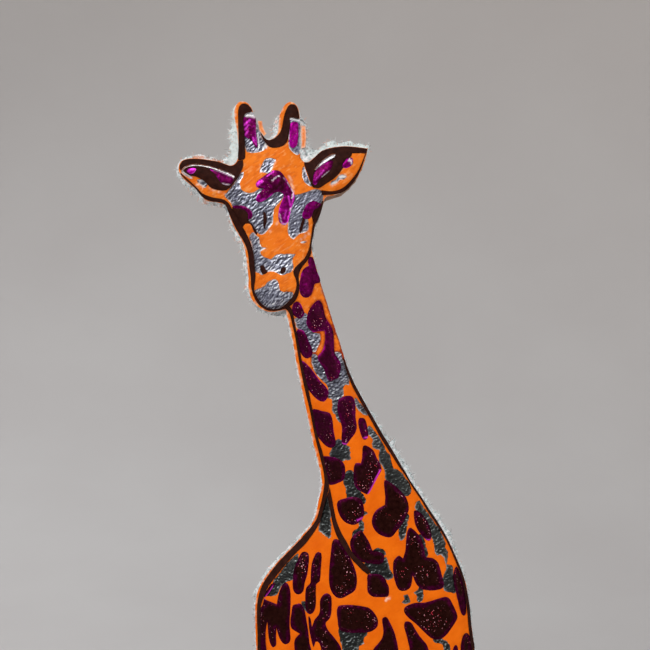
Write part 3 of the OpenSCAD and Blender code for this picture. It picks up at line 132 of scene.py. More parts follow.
def outline(node, step=0.4, side=0):
    return [rounded(loop, step) for loop in face_loops(node, side)]


def ends(loops):
    """Start and end points of every edge of the outlines."""
    return np.concatenate(loops), np.concatenate([np.roll(loop, -1, 0) for loop in loops])


def by_row(points, loops, reach):
    """Yields, band by band, which points lie there and the edges within reach of them."""
    if not len(points):
        return
    a, b = ends(loops)
    low, high = np.minimum(a[:, 1], b[:, 1]), np.maximum(a[:, 1], b[:, 1])
    rows = np.floor(points[:, 1] / ROW)
    order = np.argsort(rows, kind="stable")
    for chosen in np.split(order, np.flatnonzero(np.diff(rows[order])) + 1):
        bottom = rows[chosen[0]] * ROW
        near = (high >= bottom - reach) & (low <= bottom + ROW + reach)
        yield chosen, a[near], b[near]


def inside(points, loops):
    """Whether each point lies within the outlines and outside their holes."""
    odd = np.zeros(len(points), bool)
    for chosen, a, b in by_row(points, loops, 0):
        x, z = points[chosen, 0, None], points[chosen, 1, None]
        spans = (a[:, 1] > z) != (b[:, 1] > z)
        rise = np.where(spans, b[:, 1] - a[:, 1], 1)
        odd[chosen] = (spans & (x < a[:, 0] + (z - a[:, 1]) * (b[:, 0] - a[:, 0]) / rise)).sum(1) % 2 == 1
    return odd


def edge_distance(points, loops, reach):
    """Distance from each point to the nearest outline, at most reach."""
    best = np.full(len(points), float(reach))
    for chosen, a, b in by_row(points, loops, reach):
        if len(a):
            p = points[chosen][:, None]
            along = b - a
            t = ((p - a) * along).sum(2) / np.maximum((along**2).sum(1), 1e-12)
            d = np.linalg.norm(p - a - np.clip(t, 0, 1)[..., None] * along, axis=2).min(1)
            best[chosen] = np.minimum(best[chosen], d)
    return best


# ---- noise and fields ----
def noise(x, z, seed):
    """Smooth noise from -1 to 1 that varies over about one unit."""
    table = np.random.default_rng(seed).uniform(-1, 1, (97, 97))
    i, j = np.floor(x).astype(int), np.floor(z).astype(int)
    u, v = x - i, z - j
    u, v = u * u * (3 - 2 * u), v * v * (3 - 2 * v)
    low = table[i % 97, j % 97] * (1 - u) + table[(i + 1) % 97, j % 97] * u
    high = table[i % 97, (j + 1) % 97] * (1 - u) + table[(i + 1) % 97, (j + 1) % 97] * u
    return low * (1 - v) + high * v


def ramp(value, start, stop):
    """0 at start, 1 at stop, smooth between."""
    t = np.clip((value - start) / (stop - start), 0, 1)
    return t * t * (3 - 2 * t)


class Relief:
    """How far the padding stands out at any point: nothing at the figure's edge, most in the middle."""

    def __init__(self, loops, height, reach, cell=0.5):
        everything = np.concatenate(loops)
        self.cell, self.low = cell, everything.min(0) - 6
        nx, nz = np.ceil((everything.max(0) + 6 - self.low) / cell).astype(int) + 1
        gx, gz = np.meshgrid(np.arange(nx), np.arange(nz), indexing="ij")
        grid = np.stack([gx.ravel(), gz.ravel()], 1) * cell + self.low
        far = edge_distance(grid, loops, 5 * reach) * inside(grid, loops)
        far = height * (1 - np.exp(-far / reach)) + face_forms(grid) * ramp(far, 0, 2.5)
        self.values = far.reshape(nx, nz)
        kernel = np.exp(-np.linspace(-2, 2, 9) ** 2)
        kernel /= kernel.sum()
        for axis in (0, 1):
            self.values = np.apply_along_axis(np.convolve, axis, self.values, kernel, "same")

    def __call__(self, points):
        at = np.clip((points - self.low) / self.cell, 0, np.array(self.values.shape) - 1.001)
        i, j = at.astype(int).T
        u, v = (at - at.astype(int)).T
        grid = self.values
        return ((grid[i, j] * (1 - u) + grid[i + 1, j] * u) * (1 - v)
                + (grid[i, j + 1] * (1 - u) + grid[i + 1, j + 1] * u) * v)


def bump(points, x, z, wide, tall, height):
    """A rounded swelling centred on (x, z)."""
    return height * np.exp(-((points[:, 0] - x) / wide) ** 2 - ((points[:, 1] - z) / tall) ** 2)


def face_forms(points):
    """The modelled forms under the facings: muzzle, brows, eyes, cheek and breast."""
    return (bump(points, -19.5, 262, 7, 6, 1.5) + bump(points, -19, 272, 5, 9, 0.8)
            + bump(points, -29, 282, 3.5, 3, 0.7) + bump(points, -12.5, 283, 3, 3, 0.7)
            + bump(points, -20.5, 290, 6, 5, 0.5) + bump(points, 2, 178, 18, 22, 1.6)
            + bump(points, 0, 232, 6, 25, 0.4))


# ---- meshes ----
def hex_points(low, high, spacing):
    """Points of a triangular grid that fills a box."""
    rise = spacing * math.sqrt(3) / 2
    rows = []
    for k, z in enumerate(np.arange(low[1], high[1], rise)):
        x = np.arange(low[0] + spacing / 2 * (k % 2), high[0], spacing)
        rows.append(np.stack([x, np.full(len(x), z)], 1))
    return np.concatenate(rows)


def fill_points(loops, spacing, clear=0.55):
    """Grid points within the outlines, clear of their edges."""
    everything = np.concatenate(loops)
    grid = hex_points(everything.min(0), everything.max(0), spacing)
    grid = grid[inside(grid, loops)]
    return grid[edge_distance(grid, loops, spacing) > clear * spacing]


def triangulate(loops, extra):
    """Triangles within the outlines through the extra points: 2-D points and vertex triples."""
    points = np.concatenate(list(loops) + [extra])
    edges, first = [], 0
    for loop in loops:
        n = len(loop)
        edges += [(first + k, first + (k + 1) % n) for k in range(n)]
        first += n
    made = delaunay_2d_cdt([Vector(p) for p in points.tolist()], edges, [], 0, 1e-4, False)
    places = np.array([tuple(p) for p in made[0]])
    faces = np.array(made[2])
    return places, faces[inside(places[faces].mean(1), loops)]


def store(name, points, faces, mat, slot, nodes, smooth=60, **paint):
    """Makes the mesh object that stands for the CAD nodes, painted with one value per vertex."""
    mesh = bpy.data.meshes.new(name)
    mesh.from_pydata((np.asarray(points) * MM).tolist(), [], [list(map(int, f)) for f in faces])
    for key, values in paint.items():
        attribute = mesh.attributes.new(key, "FLOAT", "POINT")
        attribute.data.foreach_set("value", np.asarray(values, np.float32))
    mesh.materials.append(mat)
    mesh.shade_smooth()
    mesh.set_sharp_from_angle(angle=math.radians(smooth))
    piece = bpy.data.objects.new(name, mesh)
    bpy.context.scene.collection.objects.link(piece)
    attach(piece, "root")
    if nodes:
        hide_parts(*nodes)
    return piece


def layer(node, front, back, mat, slot, loops=None, spacing=0.7, extra=None, paint=None, coarse=1.8,
          add=None):
    """A closed thin sheet, with more geometry added to its mesh if add is given.

    front(points, edge) and back(points) give y, where edge is the distance to the rim.
    """
    loops = outline(node) if loops is None else loops
    grid = fill_points(loops, spacing) if extra is None else extra
    flat, faces = triangulate(loops, grid)
    edge = edge_distance(flat, loops, 4)
    y = front(flat, edge)
    rim = rings(faces.tolist())
    under = [flat[ring] for ring in rim]
    low, low_faces = triangulate(under, fill_points(under, coarse))
    total = len(flat)
    points = np.concatenate([
        np.stack([flat[:, 0], y, flat[:, 1]], 1),
        np.stack([low[:, 0], back(low), low[:, 1]], 1),
    ])
    place = {(round(x, 4), round(z, 4)): total + k for k, (x, z) in enumerate(low)}
    walls = []
    for ring in rim:
        below = [place[(round(x, 4), round(z, 4))] for x, z in flat[ring]]
        for k in range(len(ring)):
            n = (k + 1) % len(ring)
            walls.append((ring[n], ring[k], below[k], below[n]))
    everything = faces.tolist() + [(total + a, total + c, total + b) for a, b, c in low_faces] + walls
    painted = {}
    for key, values in (paint(flat, edge) if paint else {}).items():
        painted[key] = np.concatenate([values, np.zeros(len(low))])
    if add:
        more, more_faces, more_paint = add
        everything += (more_faces + len(points)).tolist()
        points = np.concatenate([points, more])
        painted = {key: np.concatenate([values, more_paint[key]]) for key, values in painted.items()}
    return store(node, points, everything, mat, slot, [node], **painted)


def outward(loop):
    """Unit vectors pointing out of a loop that runs counter-clockwise."""
    along = np.roll(loop, -1, 0) - np.roll(loop, 1, 0)
    across = np.stack([along[:, 1], -along[:, 0]], 1)
    return across / np.maximum(np.linalg.norm(across, axis=1), 1e-9)[:, None]


def slab(node, mat, slot, inset, back_carve, steps=9, spacing=1.6):
    """A thick board with carved edges and back.

    inset(points, t) narrows it, from t = 0 at the front to 1 at the back.
    """
    front_y, back_y = level(node), level(node, -1)
    points, faces = [], []
    for loop in outline(node, 1.0):
        out, n, first = outward(loop), len(loop), sum(map(len, points))
        for k in range(steps + 1):
            t = k / steps
            ring = loop - out * inset(loop, t)[:, None]
            y = np.full(n, front_y + t * (back_y - front_y))
            points.append(np.stack([ring[:, 0], y, ring[:, 1]], 1))
            if k:
                a, b = first + (k - 1) * n, first + k * n
                faces += [(a + (j + 1) % n, a + j, b + j, b + (j + 1) % n) for j in range(n)]
        for t, way in ((0, 1), (1, -1)):
            rim = [loop - out * inset(loop, t)[:, None]]
            flat, tris = triangulate(rim, fill_points(rim, spacing))
            y = back_y - back_carve(flat, edge_distance(flat, rim, 6)) if t else np.full(len(flat), front_y)
            start = sum(map(len, points))
            points.append(np.stack([flat[:, 0], y, flat[:, 1]], 1))
            faces += (tris[:, ::way] + start).tolist()
    return store(node, *welded(np.concatenate(points), faces), mat, slot, [node], smooth=50)


def welded(points, faces):
    """The same mesh with points at one place joined."""
    keep, same = np.unique(np.round(points, 4), axis=0, return_inverse=True)
    same = same.ravel()
    made = [[int(same[v]) for v in face] for face in faces]
    return keep, [face for face in made if len(set(face)) == len(face)]


def tubes(spines, radius, sides=3):
    """Thin tapered tubes along many spines at once: spines is (count, steps, 3), radius one per spine."""
    count, steps, _ = spines.shape
    along = np.gradient(spines, axis=1)
    along /= np.maximum(np.linalg.norm(along, axis=2), 1e-9)[..., None]
    u = np.cross(along, (0.3, 0.2, 0.9))
    u /= np.maximum(np.linalg.norm(u, axis=2), 1e-9)[..., None]
    v = np.cross(along, u)
    taper = radius[:, None] * np.linspace(1, 0.35, steps)
    turns = np.arange(sides) * math.tau / sides
    rings_at = spines[:, :, None] + taper[..., None, None] * (
        u[:, :, None] * np.cos(turns)[:, None] + v[:, :, None] * np.sin(turns)[:, None])
    base = (np.arange(count) * steps * sides)[:, None, None]
    k, j = np.arange(steps - 1)[:, None] * sides, np.arange(sides)
    n = (j + 1) % sides
    a, b, c, d = base + k + j, base + k + n, base + k + sides + n, base + k + sides + j
    return rings_at.reshape(-1, 3), np.stack([a, b, c, d], -1).reshape(-1, 4)


# ---- materials ----
def colour(r, g, b):
    """Linear colour of an sRGB one given from 0 to 255."""
    return tuple(
        (c / 255 / 12.92) if c <= 10 else ((c / 255 + 0.055) / 1.055) ** 2.4 for c in (r, g, b)
    ) + (1,)


class Paint:
    """A material under construction: short calls that add nodes and link them."""

    def __init__(self, name, **settings):
        self.mat = bpy.data.materials.new(name)
        self.mat.use_nodes = True
        self.tree = self.mat.node_tree
        self.shader = self.tree.nodes["Principled BSDF"]
        self.place = self.add("TexCoord").outputs["Object"]
        self.set(**settings)

    def put(self, socket, value):
        if isinstance(value, bpy.types.NodeSocket):
            self.tree.links.new(value, socket)
        else:
            socket.default_value = value

    def set(self, **settings):
        for key, value in settings.items():
            self.put(self.shader.inputs[key.replace("_", " ").title().replace("Ior", "IOR")], value)

    def add(self, kind, inputs=(), **settings):
        node = self.tree.nodes.new("ShaderNode" + kind)
        for key, value in settings.items():
            setattr(node, key, value)
        for key, value in dict(inputs).items():
            self.put(node.inputs[key], value)
        return node

    def noise(self, per_mm, detail=2.0, stretch=(1, 1, 1), turn=0.0, rough=0.5):
        """Noise with about per_mm features a millimetre along each axis, turned about Y."""
        moved = self.add("Mapping", {"Vector": self.place, "Rotation": (0, turn, 0)})
        spread = self.add("Mapping", {"Vector": moved.outputs[0], "Scale": stretch})
        made = self.add("TexNoise", {"Vector": spread.outputs[0], "Scale": per_mm / MM,
                                     "Detail": detail, "Roughness": rough})
        return made.outputs["Fac"]

    def spots(self, per_mm):
        """Distance from scattered points, about per_mm a millimetre along each axis."""
        made = self.add("TexVoronoi", {"Vector": self.place, "Scale": per_mm / MM}, feature="F1")
        return made.outputs["Distance"]

    def ramp(self, value, *stops):
        """Colours or grey levels at given places along a value."""
        node = self.add("ValToRGB", {"Fac": value})
        parts = node.color_ramp.elements
        while len(parts) < len(stops):
            parts.new(0.5)
        for part, (at, shade) in zip(parts, stops):
            part.position = at
            part.color = shade if isinstance(shade, tuple) else (shade, shade, shade, 1)
        return node.outputs["Color"]

    def mix(self, share, a, b, blend="MIX"):
        node = self.add("Mix", data_type="RGBA", blend_type=blend)
        for socket, value in ((node.inputs[0], share), (node.inputs[6], a), (node.inputs[7], b)):
            self.put(socket, value)
        return node.outputs[2]

    def maths(self, kind, a, b=0.5):
        node = self.add("Math", operation=kind)
        self.put(node.inputs[0], a)
        self.put(node.inputs[1], b)
        return node.outputs[0]

    def value(self, name):
        """The value painted on the mesh under this name."""
        return self.add("Attribute", attribute_name=name).outputs["Fac"]

    def height(self, value, depth_mm, normal=None):
        """A normal tilted by the value as if it stood out by depth_mm, on top of another normal."""
        node = self.add("Bump", {"Height": value, "Distance": depth_mm * MM, "Strength": 1.0})
        if normal is not None:
            self.put(node.inputs["Normal"], normal)
        return node.outputs["Normal"]


def silver_material():
    p = Paint("silver_crinkle", metallic=0.4, specular_ior_level=0.3)
    flicker = p.maths("MULTIPLY", p.maths("SUBTRACT", p.noise(2.6, 3)), 0.34)
    shade = p.maths("ADD", p.value("shade"), flicker)
    # A lit palette for the head and a darker copy of the same foil, painted shade for the lower figure
    head = p.ramp(shade, (0.0, colour(30, 28, 38)), (0.28, colour(76, 76, 90)),
                  (0.52, colour(130, 132, 150)), (0.76, colour(206, 210, 222)),
                  (0.92, colour(255, 255, 255)))
    low = p.ramp(shade, (0.0, colour(8, 9, 9)), (0.36, colour(22, 23, 22)), (0.6, colour(50, 54, 52)),
                 (0.9, colour(168, 176, 176)))
    # Painted shade: the foil turns to the darker copy towards the bottom, as a reflection of darker
    # surroundings
    mixed = p.mix(p.value("dull"), head, low)
    # Painted highlights: white along the skin's edge and in the glint strokes
    lit = p.mix(p.value("rim"), mixed, colour(255, 255, 255))
    fine = p.noise(1.6, 3)
    p.set(base_color=lit, roughness=p.ramp(fine, (0.3, 0.3), (0.7, 0.5)), normal=p.height(fine, 0.05))
    return p.mat


def orange_material():
    p = Paint("orange_skin_satin", specular_ior_level=0.06)
    warm = p.ramp(p.noise(0.25, 3), (0.3, colour(236, 116, 28)), (0.7, colour(250, 134, 38)))
    low = p.ramp(p.noise(0.25, 3), (0.3, colour(230, 100, 4)), (0.7, colour(244, 114, 10)))
    body = p.mix(p.value("low"), warm, low)
    # Painted highlight: pale peach on the skin's outer rims and under the white glint strokes
    edge = p.mix(p.value("pale"), body, colour(255, 214, 186))
    wrinkle = p.noise(0.9, 3, (1, 1, 0.4), SLANT)
    glint = p.noise(1.4, 2, (1, 1, 0.25), SLANT)
    grain = p.noise(3.5, 2)
    fold = p.height(wrinkle, 0.2)
    on_head = p.maths("SUBTRACT", 1.0, p.value("low"))
    # On the head: painted shade in the wrinkles' creases and a painted highlight on their crests
    crease_shade = p.maths("MULTIPLY", p.ramp(wrinkle, (0.36, 0.4), (0.52, 0.0)), on_head)
    wrinkle_highlight = p.maths("MULTIPLY", p.ramp(glint, (0.56, 0.0), (0.68, 0.55)), on_head)
    # Painted shadow: dark red along the skin's edge down the nape, laid over the painted highlights
    painted_light = p.mix(p.value("burnt"), p.mix(wrinkle_highlight, edge, colour(255, 168, 96)), colour(150, 50, 16))
    creased = p.mix(crease_shade, painted_light, colour(190, 76, 16))
    p.set(base_color=creased, roughness=p.ramp(grain, (0.3, 0.46), (0.7, 0.62)),
          normal=p.height(grain, 0.02, fold))
    return p.mat


def purple_material():
    p = Paint("purple_foil_gloss", metallic=0.5, specular_ior_level=0.05)
    ripple = p.noise(1.1, 3)
    flicker = p.maths("MULTIPLY", p.maths("SUBTRACT", p.noise(1.4, 3)), 0.6)
    # Painted reflection: how bright the foil's reflected light is, set per foil and darker lower down
    glow = p.maths("ADD", p.value("glow"), flicker)
    body = p.ramp(glow, (0.0, colour(46, 0, 20)), (0.28, colour(86, 0, 58)), (0.48, colour(134, 0, 108)),
                  (0.72, colour(184, 8, 160)), (0.95, colour(248, 96, 232)))
    ink = p.ramp(ripple, (0.3, colour(30, 6, 4)), (0.7, colour(44, 16, 12)))
    inked = p.mix(p.value("ink"), body, ink)
    # Painted glints: clusters of small pink-white flecks
    size = p.maths("MULTIPLY", p.ramp(p.noise(0.8, 2), (0.4, 0.45), (0.65, 1.0)), 0.27)
    glint_dots = p.maths("LESS_THAN", p.spots(1.9), size)
    glint_tint = p.ramp(p.noise(1.5, 1), (0.44, colour(206, 52, 74)), (0.62, colour(255, 190, 202)))
    glint_flecked = p.mix(p.maths("MULTIPLY", glint_dots, p.value("fleck")), inked, glint_tint)
    # Painted highlights: magenta along the foils' edges, then white glints
    pink_highlit = p.mix(p.value("pink"), glint_flecked, colour(255, 70, 238))
    lit = p.mix(p.value("rim"), pink_highlit, colour(255, 240, 252))
    p.set(base_color=lit, roughness=p.ramp(ripple, (0.3, 0.26), (0.7, 0.44)), normal=p.height(ripple, 0.08))
    return p.mat


def dark_material():
    p = Paint("dark_brown_trim", specular_ior_level=0.05)
    tone = p.ramp(p.noise(0.8, 3), (0.3, colour(38, 14, 9)), (0.7, colour(56, 26, 19)))
    grain = p.noise(2.5, 3)
    p.set(base_color=tone, roughness=p.ramp(grain, (0.3, 0.5), (0.7, 0.7)), normal=p.height(grain, 0.03))
    return p.mat


def felt_material():
    p = Paint("white_felt_pile", roughness=0.95, sheen_weight=0.15, specular_ior_level=0.1)
    tone = p.ramp(p.noise(1.9, 4), (0.25, colour(150, 168, 172)), (0.42, colour(206, 220, 220)),
                  (0.6, colour(250, 250, 252)))
    smooth = p.mix(p.maths("MULTIPLY", p.value("clean"), 0.7), tone, colour(222, 234, 231))
    tinted = p.mix(p.value("speck"), smooth, colour(78, 72, 76))
    warm = p.mix(p.value("warm"), tinted, colour(232, 138, 84))
    pile = p.noise(2.6, 4)
    p.set(base_color=warm, normal=p.height(pile, 0.12))
    return p.mat


def wood_material(name, light, dark, per_mm, gloss, depth=0.06):
    """Wood with its grain along Z."""
    p = Paint(name, specular_ior_level=0.3)
    bands = p.noise(per_mm, 5, (1, 1, 0.09), rough=0.6)
    pores = p.noise(per_mm * 7, 2, (1, 1, 0.06))
    tone = p.ramp(bands, (0.32, dark), (0.68, light))
    toned = p.mix(p.ramp(pores, (0.3, 0.55), (0.5, 0.0)), tone, dark)
    lines = p.height(pores, depth)
    p.set(base_color=toned, roughness=p.ramp(bands, (0.3, gloss + 0.1), (0.7, gloss - 0.05)),
          normal=p.height(bands, 0.12, lines))
    return p.mat


def plain_material(name, shade, other, per_mm, roughness, metallic=0.0):
    p = Paint(name, metallic=metallic, roughness=roughness)
    grain = p.noise(per_mm, 3)
    p.set(base_color=p.ramp(grain, (0.3, shade), (0.7, other)), normal=p.height(grain, 0.05))
    return p.mat


# ---- facings ----
def ragged(loops):
    """The skin's outlines with torn edges, but calmer outside and smooth along purple foils."""
    foils = [loop for node, slot in slots.items() if slot == "purple_foil" for loop in outline(node)]
    made = []
    outer = max(loops, key=len)
    for loop in loops:
        free = ramp(edge_distance(loop, foils, 1), 0.25, 0.6) * (0.2 if loop is outer else 1)
        x, z = loop.T
        tear = 0.16 * noise(x / 0.7, z / 0.7, 23) + 0.1 * noise(x / 0.35, z / 0.35, 24)
        made.append(loop + outward(loop) * (tear * free * (0.4 + 0.6 * (1 - ramp(z, 250, 270))))[:, None])
    return made


figure = outline("silver_foil")
relief = Relief(figure, RELIEF, RELIEF_REACH)
skin_loops = ragged(outline("orange_skin", 0.25))
skin_main = [max(skin_loops, key=len)]


def level(node, side=0):
    """y of the node's front (side 0) or back (side -1) face, in mm."""
    return float(np.sort(corners(node)[0][:, 1])[side])


def stroked(points, strokes):
    """How much each point is touched by soft brush strokes of (x0, z0, x1, z1, width, strength)."""
    most = np.zeros(len(points))
    for x0, z0, x1, z1, width, strength in strokes:
        a, along = np.array((x0, z0)), np.array((x1 - x0, z1 - z0))
        t = np.clip(((points - a) * along).sum(1) / max((along**2).sum(), 1e-9), 0, 1)
        off = np.linalg.norm(points - a - t[:, None] * along, axis=1)
        most = np.maximum(most, strength * np.exp(-((off / (width / 2)) ** 4)))
    return most


def streaks(x, z, turn, wide, tall, seed):
    """Short creases of about wide by tall mm that slant by turn degrees."""
    cos, sin = math.cos(math.radians(turn)), math.sin(math.radians(turn))
    along, across = x * cos + z * sin, z * cos - x * sin
    across = across + 0.5 * tall * noise(along / wide, across / (3 * tall), seed)
    coarse = noise(along / wide, across / tall, seed + 1)
    return coarse + 0.5 * noise(along * 1.9 / wide, across * 1.8 / tall, seed + 2)


def crinkle(points):
    """Creased foil: steep streaks on the head, flatter ones on the neck, grains on the chest."""
    x, z = points.T
    head, neck = ramp(z, THROAT - 7, THROAT - 3), ramp(z, CHEST_TOP, CHEST_TOP + 14)
    mixed = streaks(x, z, 44, 0.75, 0.28, 11) * head
    mixed = mixed + streaks(x, z, 16, 0.6, 0.3, 15) * (1 - head) * neck
    return mixed + streaks(x, z, 20, 0.5, 0.36, 19) * (1 - neck)


def silver_paint(points, edge):
    """Painted shade from the slope of the creases, with a painted white highlight where the skin's edge
    folds down.
    """
    x, z = points.T
    step = np.array((-0.07, 0.11))  # from a point's shaded side to its lit side, in mm
    slope = crinkle(points + step) - crinkle(points - step)
    contrast = 0.36 - 0.13 * ramp(x, -20, -15) * ramp(z, 273, 279)
    broad = 0.1 * noise(x / 3, z / 3, 14)
    muzzle = ramp(z, 253, 258) * (1 - ramp(z, 273, 279))
    shade = 0.42 + 0.04 * ramp(z, 250, 270) + 0.05 * muzzle - contrast * slope + broad
    from_skin = edge_distance(points, skin_loops, 1)
    below = ~inside(points + np.array((-0.12, -0.3)), skin_loops)
    rough = 0.5 + 0.5 * noise(x / 0.8, z / 0.8, 21)
    # Painted highlight on the foil just inside the skin's edge, fainter lower down and where no skin lies
    # below and to the left
    lip_highlight = np.exp(-((from_skin / 0.26) ** 2)) * ramp(rough, 0.2, 0.7) * (0.3 + 0.7 * ramp(z, 226, 262))
    rim = lip_highlight * np.where(below, 0.6, 1.0)
    # Painted shade: darker foil towards the bottom, as a reflection of darker surroundings; and painted
    # white highlights
    return {"dull": 1 - ramp(z, 216, 259), "shade": np.clip(shade, 0, 1),
            "rim": np.clip(np.maximum(rim, stroked(points, WHITES)), 0, 1)}


def skin_paint(points, edge):
    """Painted highlight, patchy, on the skin's rims outside the figure and round the horns, white glints,
    and a painted shadow along the edge down the nape.
    """
    x, z = points.T
    outside = ~inside(points, figure)
    # Patches of the painted highlight on the rims
    painted_light = ramp(0.5 + 0.5 * noise(x / 0.5, z / 0.8, 22), 0.35, 0.8)
    pale = np.where(outside, 0.75 * painted_light * ramp(edge, 0.35, 0.05), 0) * ramp(z, 20, 30)
    horn = ramp(z, 295, 297) * (1 - ramp(z, 304, 306)) * (x > -31) * (x < -12)
    pale = np.maximum(pale, np.where(outside, 0.7 * ramp(edge, 0.5, 0.12), 0) * horn)
    # Painted shadow along the skin's edge down the nape
    burnt = (1 - ramp(edge, 0.1, 0.32)) * (x > -12.5) * ramp(z, 240, 246) * (1 - ramp(z, 262, 268))
    return {"low": 1 - ramp(z, 225, 268), "pale": np.maximum(pale, stroked(points, WHITES)),
            "burnt": burnt}


def padded_back(y):
    """The back of a facing that lies on the padding."""
    return lambda points: y - relief(points)


def flat_back(y):
    return lambda points: np.full(len(points), y)


def build_silver(mat):
    """Silver foil, with fine creases only where the skin leaves it bare."""
    base = level("silver_foil")
    everything = np.concatenate(figure)
    dense = hex_points(everything.min(0), everything.max(0), FOIL_GRID)
    dense = dense[inside(dense, figure)]
    covered = inside(dense, skin_loops) & (edge_distance(dense, skin_loops, 0.6) > 0.5)
    dense = dense[~covered]
    dense = dense[edge_distance(dense, figure, 0.3) > 0.15]
    sparse = fill_points(figure, 2.0)
    hidden = inside(sparse, skin_loops) & (edge_distance(sparse, skin_loops, 1.2) > 1.1)

    def front(points, edge):
        depth = 0.05 + 0.06 * ramp(points[:, 1], CHEST_TOP - 15, THROAT)
        return base - relief(points) - depth * crinkle(points) * ramp(edge, 0, 0.4)

    layer("silver_foil", front, padded_back(level("silver_foil", -1)), mat, "silver_foil",
          loops=figure, extra=np.concatenate([dense, sparse[hidden]]), paint=silver_paint)


def build_skin(mat):
    base, back = level("orange_skin"), level("orange_skin", -1)

    def front(points, edge):
        x, z = points.T
        soft = 0.05 * streaks(x, z, 38, 1.6, 0.8, 31) * ramp(z, 235, 262)
        return base - relief(points) - soft + 0.14 * np.exp(-edge / 0.2)

    layer("orange_skin", front, padded_back(back), mat, "orange_skin", loops=skin_loops,
          spacing=0.55, paint=skin_paint)


def build_strip(node, mat, slot):
    """A trim strip with a rounded top."""
    base, back = level(node), level(node, -1)

    def front(points, edge):
        return base - relief(points) - 0.14 * ramp(edge, 0, 0.7) + 0.12

    layer(node, front, padded_back(back), mat, slot, spacing=0.4)


# How bright the painted reflection is on the brighter purple foils.
REFLECTED_LIGHT = {
    "horn_left_sleeve": 0.32, "horn_right_sleeve": 0.52, "ear_left_tip": 0.66, "ear_left_inner": 0.24,
    "ear_right_inner": 0.28, "ear_right_tip": 0.42, "blaze": 0.29, "eyelid_left": 0.28,
    "eyelid_right": 0.36, "spot_jaw": 0.24, "spot_throat": 0.2,
}
# Strokes from x, z to x, z with a width, in mm, and a strength: painted magenta highlights on the purple
# foils' edges, painted white glints on every facing, and orange stains on the felt.
PINK_HIGHLIGHTS = [
    (-29, 303.9, -27.6, 305.2, 0.5, 0.8), (-28.9, 302.7, -27.9, 303.9, 0.4, 0.7),
    (-28.8, 301.4, -28.2, 302.2, 0.5, 0.7), (-26.8, 300.7, -26.5, 299.9, 0.4, 0.8),
    (-26.1, 303.6, -25.9, 299, 0.5, 0.55), (-25.6, 301.8, -25.3, 298.3, 0.5, 0.5),
    (-25.6, 288.9, -24.6, 289.6, 0.8, 0.75), (-23.8, 285.3, -24.8, 284.9, 0.4, 0.4),
    (-17.9, 286, -17.4, 283.6, 0.4, 0.7), (-18.4, 282.4, -18.9, 280.4, 0.35, 0.6),
    (-16.5, 287.4, -16.9, 284, 0.35, 0.8), (-17, 283.6, -18, 280.2, 0.35, 0.8),
    (-19.6, 279.2, -18.6, 278.9, 0.4, 0.8), (-20.3, 281, -20.1, 283, 0.3, 0.6),
    (-23.2, 290.9, -21.5, 292.1, 0.3, 0.5), (-36.8, 292.7, -32.4, 291.2, 0.3, 0.5),
    (2.2, 211.6, 5, 217.4, 0.4, 0.8), (-4.6, 224.1, -2.9, 224, 0.4, 0.7),
    (1.2, 225.6, 2.5, 225.6, 0.4, 0.7), (-0.7, 205, 0.6, 205.6, 0.4, 0.7),
    (16.6, 200, 18.2, 200.1, 0.4, 0.6), (-23.8, 185.2, -21.7, 188.3, 0.35, 0.6),
    (-43.2, 292.2, -41.8, 293, 0.6, 0.6), (-11.2, 290, -9, 292.4, 0.35, 0.45),
    (-40.8, 289.8, -39.6, 289.9, 0.4, 0.6), (-11.4, 288.4, -10.8, 288.9, 0.5, 0.8),
]
WHITES = [
    (-25.6, 301.9, -25.3, 298.1, 0.35, 0.7), (-23.5, 299.6, -23.4, 298.2, 0.5, 1),
    (-29.2, 306.7, -26.6, 307.1, 0.5, 0.5), (-17.3, 305.6, -15.3, 305.1, 0.6, 0.8),
    (-21.9, 289.8, -21, 290.6, 0.3, 0.8), (-20.6, 290.9, -20.1, 290.9, 0.3, 0.8),
    (-17.6, 291, -16.6, 287, 0.5, 0.85), (-9.4, 290.7, -7.8, 292, 0.35, 0.9),
    (-2.7, 294.9, -2.3, 295, 0.45, 0.9), (-34.6, 289.1, -32.6, 288.7, 0.4, 0.7),
    (6.5, 185.3, 7.2, 185.9, 0.6, 0.9), (-44.6, 292.6, -42, 293.9, 0.3, 0.8),
    (-42, 293.9, -37.5, 293.4, 0.5, 1), (-37.5, 293.4, -31.6, 290.9, 0.5, 1),
    (-44.4, 292.2, -42.2, 290.7, 0.4, 0.9), (-10.8, 293.4, -6.4, 296.4, 0.5, 0.75),
    (-24.8, 292, -24.9, 293.6, 0.35, 0.6), (-21.2, 294.6, -22.4, 292, 0.35, 0.6),
    (-5, 290.9, -3.7, 291.1, 0.8, 0.95), (-7, 289.1, -5.9, 289.6, 0.7, 0.85),
    (-37.9, 288, -35.2, 287.1, 0.35, 0.8), (-40.9, 289, -39.4, 288.2, 0.35, 0.8),
    (-35, 287, -33.8, 286.6, 0.3, 0.7), (-16.7, 286.6, -17, 285.4, 0.3, 0.9),
    (-17.2, 283, -17.5, 282.2, 0.3, 0.8), (-19, 290.6, -17.4, 288.2, 0.25, 0.4),
    (-44.9, 293, -43.9, 293.5, 0.4, 0.9), (-14.8, 274.4, -13.4, 274.7, 0.2, 0.5),
    (-18.1, 279.1, -19.4, 278.9, 0.3, 0.6), (-20.1, 281.5, -19.6, 279.2, 0.25, 0.45),
    (-29.4, 306.7, -26.5, 306.1, 0.8, 0.9), (-23.6, 299.5, -24.3, 297.7, 0.45, 0.9),
    (-40.6, 289.3, -39.1, 288.5, 0.35, 0.8), (-40.5, 290, -39.3, 290, 0.3, 0.6),
    (-2.5, 295.4, -2, 294.1, 0.35, 0.7), (-22.5, 276.9, -20.6, 279.4, 0.25, 0.7),
    (-15, 274.9, -12.6, 276.9, 0.25, 0.7),
]
BACKING = [(-41.8, 295.9, -38, 295.8, 0.5, 0.9), (-37.2, 295.7, -34.6, 294.9, 0.45, 0.9)]


